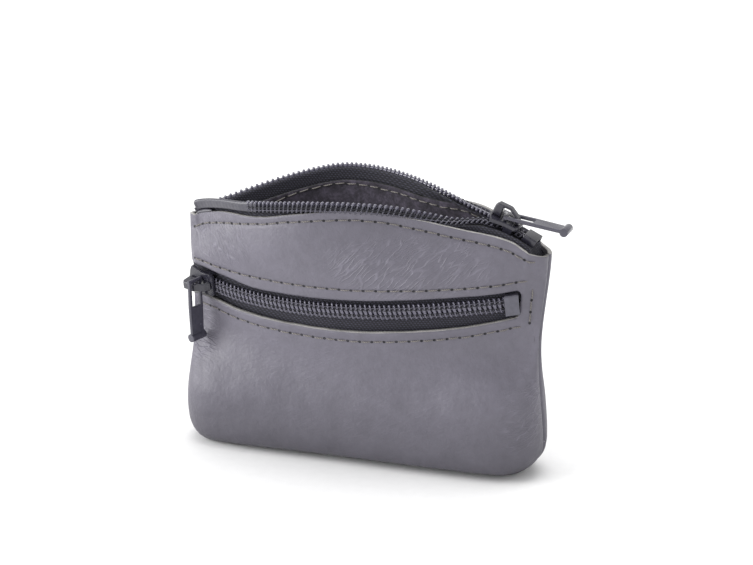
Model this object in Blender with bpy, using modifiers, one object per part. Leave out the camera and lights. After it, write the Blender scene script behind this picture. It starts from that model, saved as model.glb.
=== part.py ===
"""Small leather zip coin purse: arched mouth zip, open, and a closed front pocket zip.

Metres, +Z up, X to the right, the front faces -Y. The origin is the middle of the base on the
floor. Both zips are coil zips of one size, each with a self-locking slider, a pull and a stop.
"""

import math

import bmesh
import bpy
import numpy as np
from mathutils import Matrix, Vector

# Leather body
HALF_WIDTH = 0.0480
WAIST_IN = 0.0017
WAIST_HEIGHT = 0.0330
WAIST_REACH = 0.0260
CORNER_RADIUS = 0.0090
BASE_HALF = 0.0065
BELLY_HALF = 0.0135
BELLY_HEIGHT = 0.0110
SEAM_PLANE = -0.0019
SEAM_ROLL = 0.0013
SEAM_TUCK = 0.0011
LEATHER = 0.0011
LINING = 0.0005
TAPE = 0.0005
LAYER_GAP = 0.0003
BAG = 0.0003
BAG_FRONT_DEPTH = 0.0023
BAG_BACK_DEPTH = 0.0032
FRONT_LINING_DEPTH = 0.0038
BAG_EDGE_DROP = 0.0008
MOUTH_LINING_DEPTH = 0.0022
LINING_BLEND = 0.0120

# How the body's shape runs across and up, as shares
SIDE_POWER = 7.0
ROUND_POWER = 0.5
EDGE_SHARE = 0.05
LIP_START_SHARE = 0.55
BACK_LENS_SHARE = 0.75
BAG_SIDE_SHARE = 0.76
PLAIN_SHARES = (0, 0.25, 0.5, 0.75)
COLUMN_SHARES = (0.12, 0.24, 0.35, 0.45, 0.53, 0.61, 0.69, 0.76, 0.84)
TAPE_UNDER_SHARE = 0.45
TAPE_SIDE_SHARE = 0.955
OUTER_COLUMN_SHARES = (TAPE_SIDE_SHARE, 0.98, 1)
HANGING_SHARES = (0.4, 0.7, 1)
BELLY_SHARES = (0.10, 0.40, 1)
BETWEEN_SHARES = (0.35, 0.70)
UPPER_SHARES = (0.26, 0.56, 0.84)
ROLL_HALF_SHARE = 0.35
ROLL_IN_SHARE = 0.32

# Mouth
ZIP_END_IN = 0.0020
ARCH_HALF_CHORD = HALF_WIDTH - ZIP_END_IN
ARCH_RISE = 0.0108
ARCH_TOP = 0.0710
MOUTH_HALF = 0.0165
MOUTH_END_HALF = 0.0026
MOUTH_START_IN = 0.0035
MOUTH_LEFT = MOUTH_START_IN - HALF_WIDTH
MOUTH_SKEW = 0.863
MOUTH_SOFTNESS = 1.3
LEATHER_BELOW_ZIP = 0.0031
FLAT_LEATHER_HALF = 0.0060
FLAT_LEATHER_BELOW = 0.0029
LIP_BLEND = 0.0240

# Front pocket
FRONT_HALF_CHORD = HALF_WIDTH - ZIP_END_IN
FRONT_BULGE = 0.0110
FRONT_END_OUT = 0.0030
FRONT_SMILE = 0.0020
FRONT_END_HEIGHT = 0.0446
FRONT_TILT = math.radians(2.2)
WINDOW_HEIGHT = 0.0085
WINDOW_END_IN = 0.0032
WINDOW_RIGHT = HALF_WIDTH - WINDOW_END_IN
ZIP_BLEND = 0.0200
BAG_FRONT_ROWS = 4
BAG_BACK_ROWS = 6

# Coil
PITCH = 0.00125
CHAIN_WIDTH = 0.0042
COIL_THICK = 0.0012
SPINE_WIDTH = 0.0008
LEG_WIDTH = 0.00042
HEAD_WIDTH = 0.00066
HEAD_WIDEST = 0.00050
HEAD_PAST_CENTRE = 0.00085
ROW_SPREAD = 0.0018
PLAIN_END = 0.0113
MEETING_LENGTH = 0.0024
TAPE_EDGE = 0.0004
STANDING_TAPE = 0.0023

# Slider, measured from the zip's middle line: along it, across it, and out of its face
SLIDER_LENGTH = 0.0084
SLIDER_HALF = 0.0040
TAIL_HALF = 0.0030
THROAT = 0.0006
CORNER_CUT = 0.0012
TOP_PLATE = 0.0009
BOTTOM_PLATE = 0.0008
RUNNING = 0.0002
FLANGE = 0.0006
WEDGE_HALF = 0.0007
WEDGE_MIDDLE_HALF = 0.00045
WEDGE_TIP_HALF = 0.00008
WEDGE_MIDDLE = 0.0010
WEDGE_LENGTH = 0.0016
PAWL_HOLE = 0.0009

# Cover over the slider's tunnel, above the top plate
FIT = 0.00012
COVER_WIDTH = 0.0022
COVER_RISE = 0.00335
COVER_WALL = 0.0006
COVER_FRONT = 0.0039
COVER_BACK = 0.0038
COVER_SHOULDER = 0.0007
COVER_LEAN = 0.0003
COVER_SLOPE_START = 0.0003
COVER_TAIL_RISE = 0.0017
TUNNEL_FRONT = 0.0014
TUNNEL_BACK = 0.0025
TUNNEL_BACK_RISE = 0.0014
COVER_ROUND = 0.00025

# Lock spring inside the tunnel
SPRING_THICK = 0.0003
SPRING_WIDTH = 0.0008
SPRING_UNDER = 0.00168
SPRING_FLAT_END = 0.0004
SPRING_FOOT = 0.0021
SPRING_FOOT_RISE = 0.0009
PAWL_AT = 0.0011
PAWL_DROP = 0.0007

# Pull
PIVOT_RADIUS = 0.0005
PIVOT_RISE = 0.00085
PULL_LENGTH = 0.0165
PULL_WIDTH = 0.0046
PULL_WINDOW = 0.0026
PULL_WINDOW_LENGTH = 0.0070
PULL_THICK = 0.0009
PULL_END_RADIUS = 0.0011
PULL_WAIST = 0.0002
MAIN_PULL_RISE = math.radians(13)
HANGING_OFFSET = 0.0004
HANGING_GAP = 0.0004
HANGING_IN = 0.0002

# Stop, a folded metal clamp
STOP_LENGTH = 0.0036
STOP_WALL = 0.0005
STOP_HALF = 0.0028
STOP_ROUND = 0.0003
OVERRUN = 0.0010
WELD = 0.000001

# Rest places of the sliders and stops, measured in from the purse's sides
MAIN_SLIDER_IN = 0.0112
FRONT_SLIDER_IN = 0.0067
MAIN_STOP_IN = 0.0040
FRONT_STOP_IN = 0.0072
MAIN_SLIDER_X = HALF_WIDTH - MAIN_SLIDER_IN
FRONT_SLIDER_X = FRONT_SLIDER_IN - HALF_WIDTH
MAIN_STOP_X = HALF_WIDTH - MAIN_STOP_IN
FRONT_STOP_X = HALF_WIDTH - FRONT_STOP_IN


def smooth(t):
    """Ease from 0 to 1, level at both ends."""
    t = min(max(t, 0), 1)
    return t * t * (3 - 2 * t)


def mix(low, high, t):
    return low + (high - low) * t


def circle_through(half_chord, rise):
    return (half_chord**2 + rise**2) / (2 * rise)


# Mouth arch: a circle in the plane Y = 0

ARCH_RADIUS = circle_through(ARCH_HALF_CHORD, ARCH_RISE)
ARCH_CENTRE = Vector((0, 0, ARCH_TOP - ARCH_RADIUS))
SLIDER_MOUTH_X = MAIN_SLIDER_X - SLIDER_LENGTH / 2
ROWS_MEET_X = SLIDER_MOUTH_X + WEDGE_LENGTH + MEETING_LENGTH


def arch_height(x):
    return math.sqrt(ARCH_RADIUS**2 - x**2) + ARCH_CENTRE.z


def mouth_half(x):
    """How far each row of the mouth zip stands from the middle plane."""
    if x > SLIDER_MOUTH_X:
        return ROW_SPREAD * smooth((ROWS_MEET_X - x) / MEETING_LENGTH)
    share = max(x - MOUTH_LEFT, 0) / (SLIDER_MOUTH_X - MOUTH_LEFT)
    bow = math.sin(math.pi * share**MOUTH_SKEW) ** MOUTH_SOFTNESS
    return mix(mix(MOUTH_END_HALF, ROW_SPREAD, share), MOUTH_HALF, bow)


def standing(x):
    """How far a row has turned: 0 lies flat in the slider, 1 stands on its tape."""
    return smooth((SLIDER_MOUTH_X - x) / LIP_BLEND)


def lip_point(side, x, across, normal):
    """A point of a mouth row: across runs from tape to teeth, normal runs out of the coil's face."""
    up = (Vector((x, 0, arch_height(x))) - ARCH_CENTRE).normalized()
    turn = math.pi / 2 * standing(x)
    out = Vector((0, side, 0))
    along_teeth = up * math.sin(turn) - out * math.cos(turn)
    along_face = up * math.cos(turn) + out * math.sin(turn)
    middle = Vector((x, side * mouth_half(x), arch_height(x)))
    return middle + along_teeth * across + along_face * normal


def lip_edge(x):
    """Distance from the middle plane and height of the leather's cut edge at the mouth."""
    stand = standing(x)
    flat = FLAT_LEATHER_HALF - min(mouth_half(x), ROW_SPREAD)
    half = mouth_half(x) + mix(flat, COIL_THICK / 2, stand)
    drop = mix(FLAT_LEATHER_BELOW, LEATHER_BELOW_ZIP, stand)
    reach = min(abs(x), ARCH_HALF_CHORD)
    return half, arch_height(reach) - drop


# Front pocket zip: a circle in a plane that leans forward and down, and tilts a little

FRONT_SAG = math.hypot(FRONT_BULGE, FRONT_SMILE)
FRONT_LEAN = math.atan2(FRONT_SMILE, FRONT_BULGE)
FRONT_RADIUS = circle_through(FRONT_HALF_CHORD, FRONT_SAG)
FRONT_ORIGIN = Vector((0, -FRONT_END_OUT, FRONT_END_HEIGHT))
FRONT_TURN = Matrix.Rotation(-FRONT_TILT, 3, "Y") @ Matrix.Rotation(FRONT_LEAN, 3, "X")
LEATHER_OUT = COIL_THICK / 2


def front_place(x, reach, up):
    return FRONT_ORIGIN + FRONT_TURN @ Vector((x, FRONT_RADIUS - FRONT_SAG - reach, up))


def front_point(chord, out, up):
    """A point of the front zip: square out from a place along its chord, and up across it."""
    angle = math.asin(chord / FRONT_RADIUS)
    radius = FRONT_RADIUS + out
    return front_place(radius * math.sin(angle), radius * math.cos(angle), up)


def front_surface(x, up):
    """A point of the leather over the front zip, at a distance from the purse's middle."""
    return front_place(x, math.sqrt((FRONT_RADIUS + LEATHER_OUT) ** 2 - x**2), up)


def front_half(x, z):
    """Distance from the middle plane to the leather over the front zip."""
    local = FRONT_TURN.inverted() @ (Vector((x, -FRONT_BULGE, z)) - FRONT_ORIGIN)
    return -front_surface(local.x, local.z).y


# Leather body: every layer is a sheet at some depth under the outer surface

SEAM_HALF = LAYER_GAP / 2
WINDOW_SHARE = WINDOW_RIGHT / HALF_WIDTH


def half_width(z):
    waist = smooth(1 - abs(z - WAIST_HEIGHT) / WAIST_REACH)
    return HALF_WIDTH - WAIST_IN * waist


def bottom_edge(share, depth):
    """Height of the body's lower outline, with its rounded corners."""
    past = abs(share) * HALF_WIDTH - (HALF_WIDTH - CORNER_RADIUS)
    past = min(max(past, 0), CORNER_RADIUS)
    return CORNER_RADIUS - math.sqrt(CORNER_RADIUS**2 - past**2) + depth


def window_edge(share, up):
    return front_surface(share * HALF_WIDTH, up).z


def outer_half(side, share, z):
    """Distance of the outer leather from its seam plane."""
    reach = abs(share)
    x = share * HALF_WIDTH
    above = max(z - bottom_edge(share, 0), 0)
    rise = math.sqrt(1 - (1 - min(above / BELLY_HEIGHT, 1)) ** 2)
    full = math.sqrt(max(1 - reach**SIDE_POWER, 0))
    low = mix(SEAM_ROLL, mix(BASE_HALF, BELLY_HALF, rise), full)
    close = min((1 - reach) / EDGE_SHARE, 1) ** ROUND_POWER
    zip_low = window_edge(share, -WINDOW_HEIGHT)
    zip_high = window_edge(share, WINDOW_HEIGHT * LIP_START_SHARE)
    lens = mix(SEAM_ROLL, max(front_half(x, z), SEAM_ROLL), close)
    follow = 1 if side < 0 else BACK_LENS_SHARE
    body = mix(low, lens, follow * smooth((z - zip_low + ZIP_BLEND) / ZIP_BLEND))
    half, height = lip_edge(x)
    lip = mix(SEAM_ROLL, max(half, SEAM_ROLL), close)
    return mix(body, lip, smooth((z - zip_high) / (height - OVERRUN - zip_high)))


def seam_shift(share, z):
    """The seam lies a little forward of the middle, except along the mouth."""
    sides = abs(share) ** SIDE_POWER
    base = 1 - smooth((z - bottom_edge(share, 0)) / BELLY_HEIGHT)
    top = smooth((z - WAIST_HEIGHT) / WAIST_REACH)
    return SEAM_PLANE * max(sides, base) * (1 - top)


def layer_point(side, share, z, depth, least):
    """A point of the layer at a depth under the outer leather, at a height."""
    half = max(outer_half(side, share, z) - depth, least)
    width = half_width(z) - depth
    return Vector((share * width, seam_shift(share, z) + side * half, z))


def seam_inward(share):
    """The direction from the body's outline into the body, in the plane of the seam."""
    if abs(share) == 1:
        return Vector((-share, 0, 0))
    past = max(abs(share) * HALF_WIDTH - (HALF_WIDTH - CORNER_RADIUS), 0) / CORNER_RADIUS
    return Vector((-math.copysign(past, share), 0, math.sqrt(1 - past**2)))


def row_heights(share, depth):
    """Heights of a layer's rows at one column, from the base to its top edge."""
    bottom = bottom_edge(share, depth)
    belly = [bottom + BELLY_HEIGHT * part for part in BELLY_SHARES]
    window = [window_edge(share, -WINDOW_HEIGHT / 2), window_edge(share, WINDOW_HEIGHT / 2)]
    top = lip_edge(share * HALF_WIDTH)[1]
    low = [mix(belly[-1], window[0], part) for part in BETWEEN_SHARES]
    high = [mix(window[1], top, part) for part in UPPER_SHARES]
    return [bottom] + belly + low + window + high + [top]


def layer_grid(side, columns, depth, least, tuck):
    """Rows of points of one face of a layer; the first row is where the base turns to its seam."""
    grid = []
    for share in columns:
        heights = row_heights(share, depth)
        column = [layer_point(side, share, z, depth, least) for z in heights]
        seam = seam_shift(share, heights[0])
        turned = column[0].copy()
        turned.y = seam + side * max(min(SEAM_ROLL - depth, abs(turned.y - seam)), least)
        column = [turned] + column
        if abs(share) == 1:
            column = [point + seam_inward(share) * tuck for point in column]
        else:
            column[0] += seam_inward(share) * tuck
        grid.append(column)
    return grid


def window_cells(columns):
    """The cells of a front layer that the pocket window takes out."""
    row = 2 + len(BELLY_SHARES) + len(BETWEEN_SHARES)
    right = columns.index(WINDOW_SHARE)
    return {(column, row) for column in range(right)}


# Meshes


def new_object(name, mesh_builder, material):
    """An object in the part's collection from a bmesh, with its normals outward and its faces smooth."""
    bmesh.ops.recalc_face_normals(mesh_builder, faces=mesh_builder.faces)
    mesh = bpy.data.meshes.new(name)
    mesh_builder.to_mesh(mesh)
    mesh_builder.free()
    mesh.shade_smooth()
    mesh.set_sharp_from_angle(angle=math.radians(35))
    mesh.materials.append(material)
    item = bpy.data.objects.new(name, mesh)
    PARTS.objects.link(item)
    return item


def two_faced_sheet(outer, inner, holes=frozenset(), seam=None):
    """A closed sheet between two like grids of points, with cells left out, and rolled edges at its seam.

    Both faces split their cells along the same diagonal, so that layers nest without touching.
    """
    builder = bmesh.new()
    columns = len(outer)
    rows = len(outer[0])
    faces_out = [[builder.verts.new(point) for point in column] for column in outer]
    faces_in = [[builder.verts.new(point) for point in column] for column in inner]
    rolls = {}

    def edge_chain(column, row):
        ends = (faces_out[column][row], faces_in[column][row])
        on_seam = column in (0, columns - 1) or row == 0
        if seam is None or not on_seam:
            return ends
        if (column, row) not in rolls:
            rolls[column, row] = [builder.verts.new(point) for point in seam(column, row)]
        return (ends[0], *rolls[column, row], ends[1])

    for column in range(columns - 1):
        for row in range(rows - 1):
            if (column, row) in holes:
                continue
            for half in (((0, 0), (1, 0), (1, 1)), ((0, 0), (1, 1), (0, 1))):
                builder.faces.new([faces_out[column + c][row + r] for c, r in half])
                builder.faces.new([faces_in[column + c][row + r] for c, r in reversed(half)])
            beside = {
                (column, row - 1): ((0, 0), (1, 0)),
                (column + 1, row): ((1, 0), (1, 1)),
                (column, row + 1): ((1, 1), (0, 1)),
                (column - 1, row): ((0, 1), (0, 0)),
            }
            for (c, r), (start, end) in beside.items():
                if 0 <= c < columns - 1 and 0 <= r < rows - 1 and (c, r) not in holes:
                    continue
                first = edge_chain(column + start[0], row + start[1])
                last = edge_chain(column + end[0], row + end[1])
                if len(first) != len(last):
                    builder.faces.new((*first, *reversed(last)))
                    continue
                for step in range(len(first) - 1):
                    builder.faces.new((first[step], first[step + 1], last[step + 1], last[step]))
    return builder


def strip_object(name, lines, thickness, material):
    """A closed band about a sheet of points, made with Solidify; its lines run upwards."""
    builder = bmesh.new()
    grid = [[builder.verts.new(point) for point in line] for line in lines]
    for line, following in zip(grid, grid[1:]):
        for step in range(len(line) - 1):
            builder.faces.new((line[step], following[step], following[step + 1]))
            builder.faces.new((line[step], following[step + 1], line[step + 1]))
    item = new_object(name, builder, material)
    shell = item.modifiers.new("Thickness", "SOLIDIFY")
    shell.thickness = thickness
    shell.offset = 0
    shell.use_even_offset = True
    return item


# Scene


def clear_scene():
    for item in list(bpy.data.objects):
        bpy.data.objects.remove(item, do_unlink=True)


def new_collection(name, shown=True):
    found = bpy.data.collections.new(name)
    bpy.context.scene.collection.children.link(found)
    found.hide_render = not shown
    return found


def new_material(name, colour, roughness, metallic=0):
    material = bpy.data.materials.new(name)
    material.use_nodes = True
    shader = material.node_tree.nodes["Principled BSDF"]
    shader.inputs["Base Color"].default_value = (*colour, 1)
    shader.inputs["Roughness"].default_value = roughness
    shader.inputs["Metallic"].default_value = metallic
    return material


clear_scene()
PARTS = new_collection("zip_coin_purse")
CUTTERS = new_collection("cutters", shown=False)
LEATHER_GREY = new_material("leather", (0.22, 0.21, 0.25), 0.5)
LINING_GREY = new_material("lining", (0.05, 0.045, 0.06), 0.9)
BAG_GREY = new_material("pocket_fabric", (0.04, 0.04, 0.05), 0.9)
TAPE_GREY = new_material("zip_tape", (0.03, 0.03, 0.045), 0.85)
COIL_GREY = new_material("zip_coil", (0.10, 0.095, 0.14), 0.35)
ENAMEL = new_material("slider_enamel", (0.13, 0.125, 0.17), 0.35, 0.6)
STEEL = new_material("spring_steel", (0.4, 0.4, 0.42), 0.3, 1)
STOP_METAL = new_material("stop_metal", (0.2, 0.2, 0.24), 0.3, 0.9)


# Leather and linings


def column_list(side_share, extra=()):
    half = [share for share in COLUMN_SHARES if share < side_share] + [*extra]
    return sorted({-share for share in half} | {0} | set(half))


def leather_panel(name, side):
    columns = column_list(1, (WINDOW_SHARE, *OUTER_COLUMN_SHARES))
    outer = layer_grid(side, columns, 0, SEAM_ROLL, 0)
    inner = layer_grid(side, columns, LEATHER, SEAM_HALF, SEAM_TUCK)

    def seam(column, row):
        share = columns[column]
        start = outer[column][row]
        middle = seam_shift(share, start.z)
        inward = seam_inward(share) * SEAM_TUCK
        half_way = start + inward * ROLL_IN_SHARE
        half_way.y = middle + side * SEAM_ROLL * ROLL_HALF_SHARE
        at_seam = start + inward
        at_seam.y = middle + side * SEAM_HALF
        return half_way, at_seam

    holes = window_cells(columns) if side < 0 else frozenset()
    return new_object(name, two_faced_sheet(outer, inner, holes, seam), LEATHER_GREY)


def lining_depth(side, share, z):
    """The front lining passes behind the pocket, and both pass under the mouth's tape."""
    if side > 0:
        return MOUTH_LINING_DEPTH
    high = window_edge(share, WINDOW_HEIGHT)
    return mix(FRONT_LINING_DEPTH, MOUTH_LINING_DEPTH, smooth((z - high) / LINING_BLEND))


def lining_grid(side, columns, under):
    """One face of a lining, under the depth at which it hangs."""
    grid = []
    for share in columns:
        column = []
        for z in row_heights(share, MOUTH_LINING_DEPTH)[:-1]:
            depth = lining_depth(side, share, z) + under
            least = SEAM_HALF + LINING - under
            point = layer_point(side, share, z, depth, least)
            column.append(point)
        seam = seam_shift(share, column[0].z)
        turned = column[0].copy()
        turned.y = seam + side * (SEAM_HALF + LINING - under)
        column = [turned] + column
        for point in column:
            point.z += max(under - (point.z - column[0].z), 0)
        grid.append(column)
    return grid


def lining(name, side):
    columns = column_list(WINDOW_SHARE, (WINDOW_SHARE,))
    outer = lining_grid(side, columns, 0)
    inner = lining_grid(side, columns, LINING)
    return new_object(name, two_faced_sheet(outer, inner), LINING_GREY)


def pocket_sheet(name, depth, rows, edge_drop=0):
    """A sheet of the front pocket's bag, from the pocket's bottom up to a row of the body's layers."""
    columns = column_list(BAG_SIDE_SHARE, (BAG_SIDE_SHARE,))
    faces = []
    for under in (0, BAG):
        grid = []
        for share in columns:
            heights = row_heights(share, MOUTH_LINING_DEPTH)
            heights = heights[len(BELLY_SHARES) : len(BELLY_SHARES) + rows]
            heights[-1] -= edge_drop
            grid.append([layer_point(-1, share, z, depth + under, SEAM_HALF) for z in heights])
        faces.append(grid)
    return new_object(name, two_faced_sheet(*faces), BAG_GREY)



# Zip tapes and coils

TAPE_LEVEL = -(COIL_THICK / 2 + LAYER_GAP + TAPE / 2)
UNDER_LEATHER = LEATHER + LAYER_GAP + TAPE / 2
TAPE_COLUMNS = column_list(1, (WINDOW_SHARE, TAPE_SIDE_SHARE))
WINDOW_ROW = 1 + len(BELLY_SHARES) + len(BETWEEN_SHARES)


def under_leather(side, share, row):
    """A point of a tape under a row of the leather's points, counted from the base."""
    z = row_heights(share, 0)[row]
    return layer_point(side, share, z, UNDER_LEATHER, TAPE / 2 + SEAM_HALF)


def mouth_tape(name, side):
    """The tape runs from under the coil, over the leather's edge and down inside it."""
    lines = []
    for share in TAPE_COLUMNS:
        x = share * HALF_WIDTH
        inner = lip_point(side, x, -TAPE_EDGE, TAPE_LEVEL)
        beside = lip_point(side, x, -STANDING_TAPE, TAPE_LEVEL)
        hems = [under_leather(side, share, row) for row in (-3, -2, -1)]
        lying = FLAT_LEATHER_HALF - UNDER_LEATHER - min(mouth_half(x), ROW_SPREAD)
        turn = lip_point(side, x, -mix(lying, STANDING_TAPE + TAPE, standing(x)), TAPE_LEVEL)
        lines.append([*hems, turn, beside, inner])
    return strip_object(name, lines, TAPE, TAPE_GREY)


def front_tape(name, side):
    """The tape lies flat behind the window and runs out under the leather."""
    edge_row = WINDOW_ROW + (side > 0)
    lines = []
    for share in TAPE_COLUMNS:
        under = under_leather(-1, share, edge_row)
        hem = mix(under, under_leather(-1, share, edge_row + side), TAPE_UNDER_SHARE)
        apart = TAPE_EDGE if share > -WINDOW_SHARE else WEDGE_HALF + RUNNING
        ways = (side * apart, side * WINDOW_HEIGHT / 2)
        inner, edge = (front_point(under.x, TAPE_LEVEL, up) for up in ways)
        lines.append([inner, edge, hem][::side])
    return strip_object(name, lines, TAPE, TAPE_GREY)


def coil_row(name, place, first, last, tooth, plain):
    """One row of the chain: a spine with a pointed tooth at every pitch, and a fused plain end.

    The place function turns a distance along the row, one across it towards the other row's
    teeth, and one out of its face into a point. One tooth's place sets those of the rest.
    """
    half = COIL_THICK / 2
    back = -CHAIN_WIDTH / 2
    front = back + SPINE_WIDTH
    builder = bmesh.new()

    def pair(along, across):
        return [builder.verts.new(place(along, across, level)) for level in (half, -half)]

    def wall(first, last):
        builder.faces.new((first[0], first[1], last[1], last[0]))

    def cover(points):
        builder.faces.new([point[0] for point in points])
        builder.faces.new([point[1] for point in reversed(points)])

    before_it = int((tooth - first - plain) / PITCH)
    after_it = int((last - tooth) / PITCH)
    teeth = [tooth + PITCH * step for step in range(1 - before_it, after_it)]
    back_points = [pair(teeth[0] - PITCH / 2, back)]
    entry = pair(teeth[0] - PITCH / 2, front)
    end_back = [pair(mix(first, teeth[0] - PITCH / 2, part), back) for part in PLAIN_SHARES]
    end_front = [pair(mix(first, teeth[0] - PITCH / 2, part), -TAPE_EDGE) for part in PLAIN_SHARES]
    wall(end_front[0], end_back[0])
    chain_back = end_back + back_points
    chain_front = end_front + [entry]
    for step in range(len(chain_back) - 1):
        cover([chain_back[step], chain_back[step + 1], chain_front[step + 1], chain_front[step]])
        wall(chain_back[step], chain_back[step + 1])
        wall(chain_front[step + 1], chain_front[step])
    before = entry
    for along in teeth:
        left = pair(along - LEG_WIDTH / 2, front)
        right = pair(along + LEG_WIDTH / 2, front)
        wide_left = pair(along - HEAD_WIDTH / 2, HEAD_WIDEST)
        wide_right = pair(along + HEAD_WIDTH / 2, HEAD_WIDEST)
        tip = pair(along, HEAD_PAST_CENTRE)
        back_points.append(pair(along + PITCH / 2, back))
        cover([back_points[-2], left, before])
        cover([back_points[-2], back_points[-1], right, left])
        cover([left, right, wide_right, tip, wide_left])
        wall(back_points[-2], back_points[-1])
        wall(left, before)
        wall(wide_left, left)
        wall(tip, wide_left)
        wall(wide_right, tip)
        wall(right, wide_right)
        before = right
    foot = pair(teeth[-1] + PITCH / 2, front)
    cover([back_points[-1], foot, before])
    wall(foot, before)
    wall(back_points[-1], foot)
    return new_object(name, builder, COIL_GREY)


def mouth_coil(name, side, phase):
    reach = ARCH_RADIUS * math.asin(ARCH_HALF_CHORD / ARCH_RADIUS)

    def place(along, across, out):
        return lip_point(side, ARCH_RADIUS * math.sin(along / ARCH_RADIUS), across, out)

    meeting = ARCH_RADIUS * math.asin(ROWS_MEET_X / ARCH_RADIUS)
    return coil_row(name, place, -reach, reach, meeting + phase * PITCH, PLAIN_END)


def front_coil(name, side, phase):
    start = FRONT_SLIDER_X - SLIDER_LENGTH / 2 + WEDGE_LENGTH + RUNNING
    first = FRONT_RADIUS * math.asin(start / FRONT_RADIUS)
    last = FRONT_RADIUS * math.asin((FRONT_STOP_X + STOP_LENGTH / 2) / FRONT_RADIUS)

    def place(along, across, out):
        return front_point(FRONT_RADIUS * math.sin(along / FRONT_RADIUS), out, -side * across)

    return coil_row(name, place, first, last, phase * PITCH, PITCH)


# Sliders, pulls and stops, each built along the zip's own axes


PRISM_TURNS = {
    "Z": Matrix.Identity(4),
    "Y": Matrix.Rotation(math.pi / 2, 4, "X"),
    "X": Matrix.Rotation(math.pi / 2, 4, "Z") @ Matrix.Rotation(math.pi / 2, 4, "X"),
}


def prism(name, outline, low, high, material=None, along="Z"):
    """A filled 2D outline extruded between two levels, as a mesh object."""
    curve = bpy.data.curves.new(name, "CURVE")
    curve.dimensions = "2D"
    curve.fill_mode = "BOTH"
    curve.extrude = (high - low) / 2
    for ring in outline:
        spline = curve.splines.new("POLY")
        spline.points.add(len(ring) - 1)
        for point, (u, v) in zip(spline.points, ring):
            point.co = (u, v, 0, 1)
        spline.use_cyclic_u = True
    item = bpy.data.objects.new(name, curve)
    PARTS.objects.link(item)
    item.location.z = (low + high) / 2
    bpy.context.view_layer.update()
    graph = bpy.context.evaluated_depsgraph_get()
    mesh = bpy.data.meshes.new_from_object(item.evaluated_get(graph))
    mesh.transform(item.matrix_world)
    mesh.transform(PRISM_TURNS[along])
    bpy.data.objects.remove(item)
    builder = bmesh.new()
    builder.from_mesh(mesh)
    bpy.data.meshes.remove(mesh)
    bmesh.ops.remove_doubles(builder, verts=builder.verts, dist=WELD)
    return new_object(name, builder, material or ENAMEL)


def rod(name, radius, length, centre, sides, axis="Y"):
    builder = bmesh.new()
    bmesh.ops.create_cone(
        builder, cap_ends=True, segments=sides, radius1=radius, radius2=radius, depth=length
    )
    turn = {"X": Matrix.Rotation(math.pi / 2, 4, "Y"), "Y": Matrix.Rotation(math.pi / 2, 4, "X")}
    bmesh.ops.transform(builder, verts=builder.verts, matrix=Matrix.Translation(centre) @ turn[axis])
    return new_object(name, builder, ENAMEL)


def joined(item, other, operation="UNION"):
    """Joins or cuts one mesh object by another, which goes to the cutters."""
    step = item.modifiers.new(other.name, "BOOLEAN")
    step.operation = operation
    step.object = other
    step.solver = "EXACT"
    PARTS.objects.unlink(other)
    CUTTERS.objects.link(other)
    other.hide_render = True
    other.display_type = "WIRE"
    other.parent = item


def rounded(item, width):
    bevel = item.modifiers.new("Rounded", "BEVEL")
    bevel.width = width
    bevel.segments = 1
    bevel.limit_method = "ANGLE"
    bevel.angle_limit = math.radians(50)


def rectangle(left, right, low, high):
    return [(left, low), (right, low), (right, high), (left, high)]


def mirrored_outline(points):
    """A closed outline from its upper half, which runs from one end to the other."""
    return points + [(u, -v) for u, v in reversed(points) if v]


PLATE_INSIDE = COIL_THICK / 2 + RUNNING
PLATE_TOP = PLATE_INSIDE + TOP_PLATE
BASE_INSIDE = TAPE_LEVEL - TAPE / 2 - RUNNING
BASE_BOTTOM = BASE_INSIDE - BOTTOM_PLATE


def slider_outline():
    half = SLIDER_LENGTH / 2
    return mirrored_outline(
        [
            (-half, WEDGE_HALF),
            (-half + CORNER_CUT / 2, SLIDER_HALF - CORNER_CUT),
            (-half + CORNER_CUT, SLIDER_HALF),
            (-THROAT - CORNER_CUT, SLIDER_HALF - CORNER_CUT / 4),
            (THROAT, TAIL_HALF),
            (half - CORNER_CUT / 2, TAIL_HALF),
            (half, TAIL_HALF - CORNER_CUT / 2),
        ]
    )


def slider_body(name):
    """Two plates held apart by the wedge, with flanges along the tail that keep the rows together."""
    half = SLIDER_LENGTH / 2
    body = prism(name, [slider_outline()], PLATE_INSIDE, PLATE_TOP)
    rounded(body, RUNNING)
    base = prism(name + "_base", [slider_outline()], BASE_BOTTOM, BASE_INSIDE)
    wedge_outline = mirrored_outline(
        [
            (-half + RUNNING, WEDGE_HALF),
            (-half + WEDGE_MIDDLE, WEDGE_MIDDLE_HALF),
            (-half + WEDGE_LENGTH, WEDGE_TIP_HALF),
        ]
    )
    wedge = prism(name + "_wedge", [wedge_outline], BASE_INSIDE - TAPE / 2, PLATE_INSIDE + RUNNING)
    joined(body, wedge)
    joined(body, base)
    tape_top = TAPE_LEVEL + TAPE / 2 + RUNNING
    for flank in (-1, 1):
        inner = flank * (TAIL_HALF - FLANGE)
        outer = flank * (TAIL_HALF - RUNNING / 2)
        strip = rectangle(THROAT, half - CORNER_CUT, inner, outer)
        joined(body, prism(f"{name}_flange_{flank}", [strip], tape_top, PLATE_INSIDE + RUNNING))
    hole = rectangle(-PAWL_AT - PAWL_HOLE / 2, -PAWL_AT + PAWL_HOLE / 2, -PAWL_HOLE / 2, PAWL_HOLE / 2)
    cutter = prism(name + "_pawl_hole", [hole], PLATE_INSIDE - RUNNING, PLATE_TOP + RUNNING)
    joined(body, cutter, "DIFFERENCE")
    return body


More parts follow.
